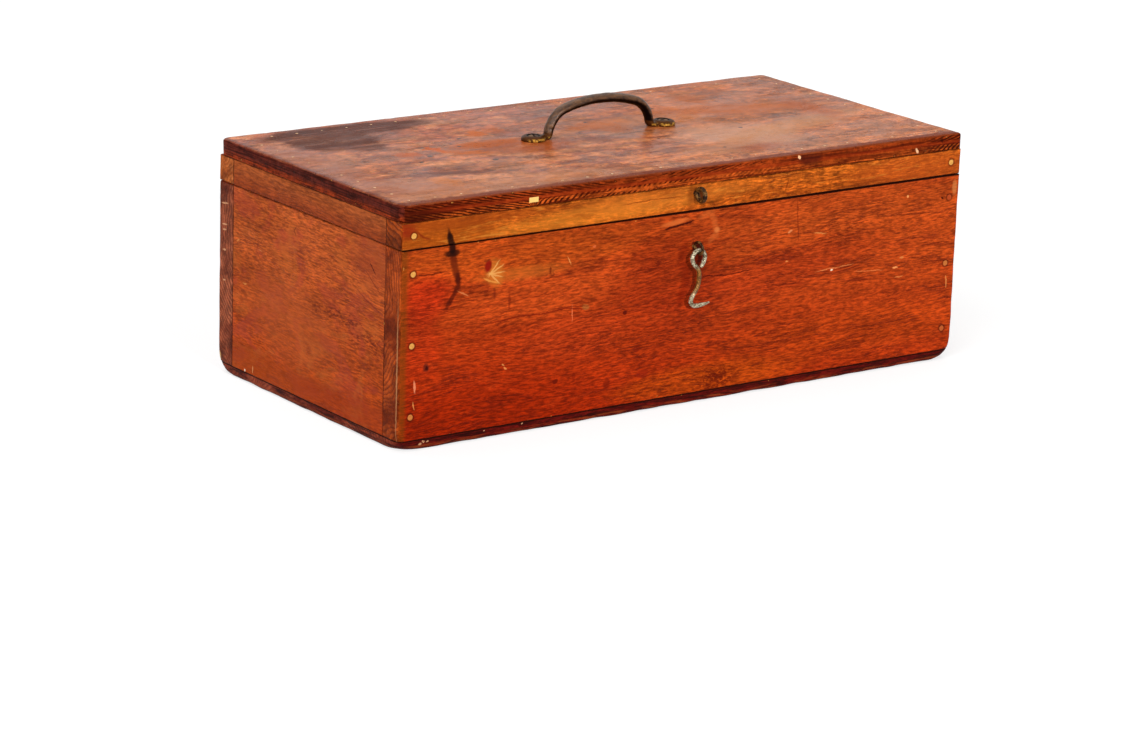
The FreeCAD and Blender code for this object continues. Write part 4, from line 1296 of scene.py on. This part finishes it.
def handle_path():
    """Centre line of the right half: x, z, heading below level, thickness and width."""
    leg_x = LEG_SPACING / 2
    crown_z = HANDLE_RISE - CROWN_RADIUS
    shoulder_x = leg_x - SHOULDER_RADIUS
    shoulder_z = crown_z + math.sqrt((CROWN_RADIUS - SHOULDER_RADIUS) ** 2 - shoulder_x ** 2)
    meeting = math.atan2(shoulder_x, shoulder_z - crown_z)
    path = []
    for step in range(13):
        angle = meeting * step / 12
        path.append((CROWN_RADIUS * math.sin(angle), crown_z + CROWN_RADIUS * math.cos(angle),
                     angle, 7.0, 9.4))
    last = math.radians(82)
    for step in range(1, 13):
        share = step / 12
        angle = meeting + (last - meeting) * share
        path.append((shoulder_x + SHOULDER_RADIUS * math.sin(angle),
                     shoulder_z + SHOULDER_RADIUS * math.cos(angle),
                     angle, 7.0 - 0.8 * share, 9.4 - 1.0 * share))
    # the heel turns outwards into the foot
    x, z = path[-1][0], path[-1][1]
    heel_radius = 3.2
    centre_x = x + heel_radius * math.sin(last)
    centre_z = z + heel_radius * math.cos(last)
    for step in range(1, 7):
        share = step / 6
        angle = last * (1 - share)
        path.append((centre_x - heel_radius * math.sin(angle),
                     centre_z - heel_radius * math.cos(angle),
                     angle, 6.2 - 1.9 * share, 8.4 + 1.4 * share))
    path.append((centre_x + 4.5, centre_z - heel_radius - 0.1, 0.0, 4.0, 9.4))
    return path


def oval_ring(centre, heading, thickness, width, sides):
    """An oval round a centre line that runs in the XZ plane."""
    across = Vector((math.sin(heading), 0, math.cos(heading)))
    return [centre + across * (thickness / 2 * cosine) + Vector((0, width / 2 * sine, 0))
            for cosine, sine in circle(sides)]


def turned(profile, sides, centre):
    """A form turned about Z from pairs of radius and height."""
    return rings_to_mesh([[centre + Vector((radius * cosine, radius * sine, height))
                           for cosine, sine in circle(sides)] for radius, height in profile])


def add_handle():
    low, high = box_in_mm("lid_handle")
    base = Vector(((low.x + high.x) / 2, (low.y + high.y) / 2, low.z))
    right = handle_path()
    left = [(-x, z, -heading, thickness, width) for x, z, heading, thickness, width in right]
    rings = [oval_ring(base + Vector((x, 0, z)), heading, thickness, width, 28)
             for x, z, heading, thickness, width in left[:0:-1] + right]
    parts = [rings_to_mesh(rings)]
    foot = ((9.0, 0.0), (9.3, 0.6), (9.2, 1.8), (8.5, 2.8), (7.3, 3.5), (6.0, 3.9), (5.0, 3.9),
            (4.4, 3.4), (4.2, 2.6), (2.0, 2.6))
    for side in (-1, 1):
        parts.append(turned(foot, 48, base + Vector((side * FOOT_SPACING / 2, 0, 0))))
    handle = add_mesh("bow_handle", *joined(parts))
    remesh(handle, 0.42, 5)
    hammer(handle, 5.0, 0.18, 1.0)
    dress(handle, "lid", "handle_bronze", handle_material(base), "lid_handle")


def handle_material(base):
    """Dark bronze with painted shade below, its feet brown with black screw pits and painted gold
    highlights on their front rims.
    """
    shader = Shader("handle_bronze")
    patch = shader.noise(shader.place, (7, 3, 3), 4.0, 0.7, 0.5)
    colour = shader.mix(shader.ramp(patch, 0.36, 0.64), (52, 29, 14), (104, 68, 38))
    place = shader.vector("SUBTRACT", shader.place, base)
    x, y, z = shader.parts(place)[:3]
    # how far each place faces out of the bow
    spoke = shader.vector("SUBTRACT", place, (0, 0, 5))
    outward = shader.parts(shader.vector("MULTIPLY", spoke, shader.facing))
    outward = (outward[0] + outward[2]) / shader.length(spoke)
    # painted shade: near black where the bow faces in and down
    colour = shader.mix(shader.ramp(outward, 0.3, -0.3), colour, (14, 6, 4))
    off = abs(x) - FOOT_SPACING / 2
    away = shader.length(shader.combined(off, y, 0.0))
    low = shader.ramp(z, 5.4, 4.4)
    pit = low * shader.ramp(away, 6.2, 5.0)
    colour = shader.mix(low, colour, (72, 40, 16))
    colour = shader.mix(pit, colour, (22, 10, 4))
    # painted highlight: gold glints in patches on the front of each foot's rim
    rub_and_glint = shader.noise(shader.place, (2.4, 2.4, 2.4), 2.0, 0.6, 0.0, 3.0)
    rub_and_glint = shader.ramp(rub_and_glint, 0.44, 0.56) * shader.ramp(away, 8.0, 8.6)
    rub_and_glint = rub_and_glint * (shader.ramp(z, 3.0, 2.0) * shader.ramp(y, -2.0, -5.5))
    colour = shader.mix(rub_and_glint, colour, (176, 128, 52))
    gleam = shader.ramp(outward, 0.3, -0.4, 0.45, 0.06) * shader.ramp(z, 4.0, 6.0, 0.08, 1.0)
    return shader.surface(colour, 0.36, patch, 0.4, 0.3, gleam)


def slotted_screws(name, node, body, slot_name, material, head_share, dome, slot_width, turns):
    """Round slotted screws in the places of a node's solids, their heads where those are."""
    parts = []
    places = []
    for low, high in solids_of(node):
        heads_up = node != "hinge_lid_screws"
        radius = (high.x - low.x) / 2
        length = high.z - low.z
        shank = radius * head_share
        depth = radius - shank
        profile = ((0.0001, -length), (shank * 0.8, -length + 1), (shank, -length + 2),
                   (shank, -depth), (radius * 0.97, -0.35), (radius, -0.1), (radius * 0.95, 0.0),
                   (radius * 0.6, dome * 0.7), (0.0001, dome))
        centre = Vector(((low.x + high.x) / 2, (low.y + high.y) / 2, 0))
        points, faces = turned(profile, 32, Vector((0, 0, 0)))
        level = high.z if heads_up else low.z
        flip = 1 if heads_up else -1
        points = [centre + Vector((p.x, p.y * flip, level + p.z * flip)) for p in points]
        parts.append((points, faces))
        places.append((centre, level, flip, radius))
    piece = add_mesh(name, *joined(parts))
    for (centre, level, flip, radius), turn in zip(places, turns):
        reach = radius + 0.5
        points, faces = box_shell(((-reach, reach), (-slot_width / 2, slot_width / 2), (-0.8, 1)))
        spin = Matrix.Rotation(math.radians(turn), 3, "Z")
        moved = []
        for point in points:
            point = spin @ point
            moved.append(centre + Vector((point.x, point.y, level + point.z * flip)))
        if flip < 0:
            faces = [face[::-1] for face in faces]
        cut(piece, moved, faces)
    dress(piece, body, slot_name, material, node)


def add_screws():
    iron = metal("screw_iron", (44, 24, 9), (112, 76, 36), (88, 44, 16), 0.55, (0.4, 0.6), 1.5, 0.4,
                 0.7, 0.2)
    slotted_screws("handle_screw_heads", "handle_screws", "lid", "screw_iron", iron, 0.5, 0.5, 1.1,
                   (65, 20))
    turns = (12, 75, 140, 38)
    slotted_screws("case_leaf_screws", "hinge_case_screws", "case", "screw_iron", iron, 0.5, 0.0,
                   0.8, turns)
    slotted_screws("lid_leaf_screws", "hinge_lid_screws", "lid", "screw_iron", iron, 0.5, 0.0,
                   0.8, turns[::-1])


def add_hinges():
    iron = metal("hinge_iron", (62, 50, 40), (120, 104, 84), (100, 56, 28), 0.58, (0.35, 0.6), 3.0,
                 0.4)
    for name, node, body in (("case_leaves", "hinge_case_leaves", "case"),
                             ("lid_leaves", "hinge_lid_leaves", "lid"),
                             ("pins", "hinge_pins", "case")):
        piece = from_node(name, node)
        edge = piece.modifiers.new("edge", "BEVEL")
        edge.width = 0.12 * MM
        edge.segments = 2
        edge.limit_method = "ANGLE"
        edge.angle_limit = math.radians(50)
        apply_modifiers(piece)
        dress(piece, body, "hinge_iron", iron, node)


def add_brads():
    iron = metal("brad_iron", (34, 26, 24), (62, 50, 44), (88, 46, 26), 0.55)
    give(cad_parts["bottom_brads"], iron)


# Stage --------------------------------------------------------------------------------------

def add_world():
    world = bpy.data.worlds.new("studio")
    bpy.context.scene.world = world
    nodes = Nodes(world)
    plain = nodes.fed_by_name(nodes.add("Background"), Color=(1.0, 0.985, 0.965, 1),
                              Strength=AMBIENT)
    white = nodes.fed_by_name(nodes.add("Background"), Strength=1.0)
    nodes.white_to_camera(plain, white, "OutputWorld")


def add_floor():
    half = FLOOR_SIZE / 2 / MM
    corners = [(-half, -half, -FLOOR_GAP), (half, -half, -FLOOR_GAP),
               (half, half, -FLOOR_GAP), (-half, half, -FLOOR_GAP)]
    floor = add_mesh("floor", corners, [[0, 1, 2, 3]])
    material = bpy.data.materials.new("floor_white")
    nodes = Nodes(material)
    plain, faint = [nodes.fed_by_name(nodes.add("BsdfDiffuse"), Color=(grey, grey, grey, 1))
                    for grey in (FLOOR_SHADE, SEEN_FLOOR_SHADE)]
    glow = nodes.fed_by_name(nodes.add("Emission"), Strength=SEEN_FLOOR_GLOW)
    white = nodes.fed(nodes.add("AddShader"), (faint, glow))
    nodes.white_to_camera(plain, white, "OutputMaterial")
    give(floor, material)


def add_sun(name, toward, strength, angle):
    """A wide soft lamp, from the direction that toward points to."""
    data = bpy.data.lights.new(name, "SUN")
    data.energy = strength
    data.angle = math.radians(angle)
    lamp = bpy.data.objects.new(name, data)
    bpy.context.scene.collection.objects.link(lamp)
    lamp.rotation_mode = "QUATERNION"
    lamp.rotation_quaternion = Vector(toward).to_track_quat("Z", "Y")


def add_lights():
    add_sun("key", (-0.1, -0.94, 0.3), 1.9, 6)
    add_sun("fill", (-0.75, -0.35, 0.55), 1.75, 50)
    add_sun("above", (0.1, 0.3, 0.95), 0.8, 60)


def add_camera():
    azimuth = math.radians(CAMERA_AZIMUTH)
    elevation = math.radians(CAMERA_ELEVATION)
    roll = math.radians(CAMERA_ROLL)
    back = Vector((math.sin(azimuth) * math.cos(elevation),
                   -math.cos(azimuth) * math.cos(elevation), math.sin(elevation)))
    level = (-back).cross(Vector((0, 0, 1))).normalized()
    upright = level.cross(-back)
    right = level * math.cos(roll) + upright * math.sin(roll)
    up = upright * math.cos(roll) - level * math.sin(roll)
    data = bpy.data.cameras.new("camera")
    data.sensor_width = SENSOR_WIDTH
    data.lens = FOCAL_PIXELS / IMAGE_WIDTH * SENSOR_WIDTH
    data.clip_end = 100.0
    camera = bpy.data.objects.new("camera", data)
    bpy.context.scene.collection.objects.link(camera)
    turn = Matrix((right, up, back)).transposed()
    camera.matrix_world = Matrix.Translation(CAMERA_PLACE * MM) @ turn.to_4x4()
    bpy.context.scene.camera = camera


add_case_boards()
add_lid_boards()
add_fasteners()
add_brads()
add_hook_and_eyes()
add_handle()
add_screws()
add_hinges()
add_world()
add_floor()
add_lights()
add_camera()
bpy.context.scene.view_settings.view_transform = "Standard"
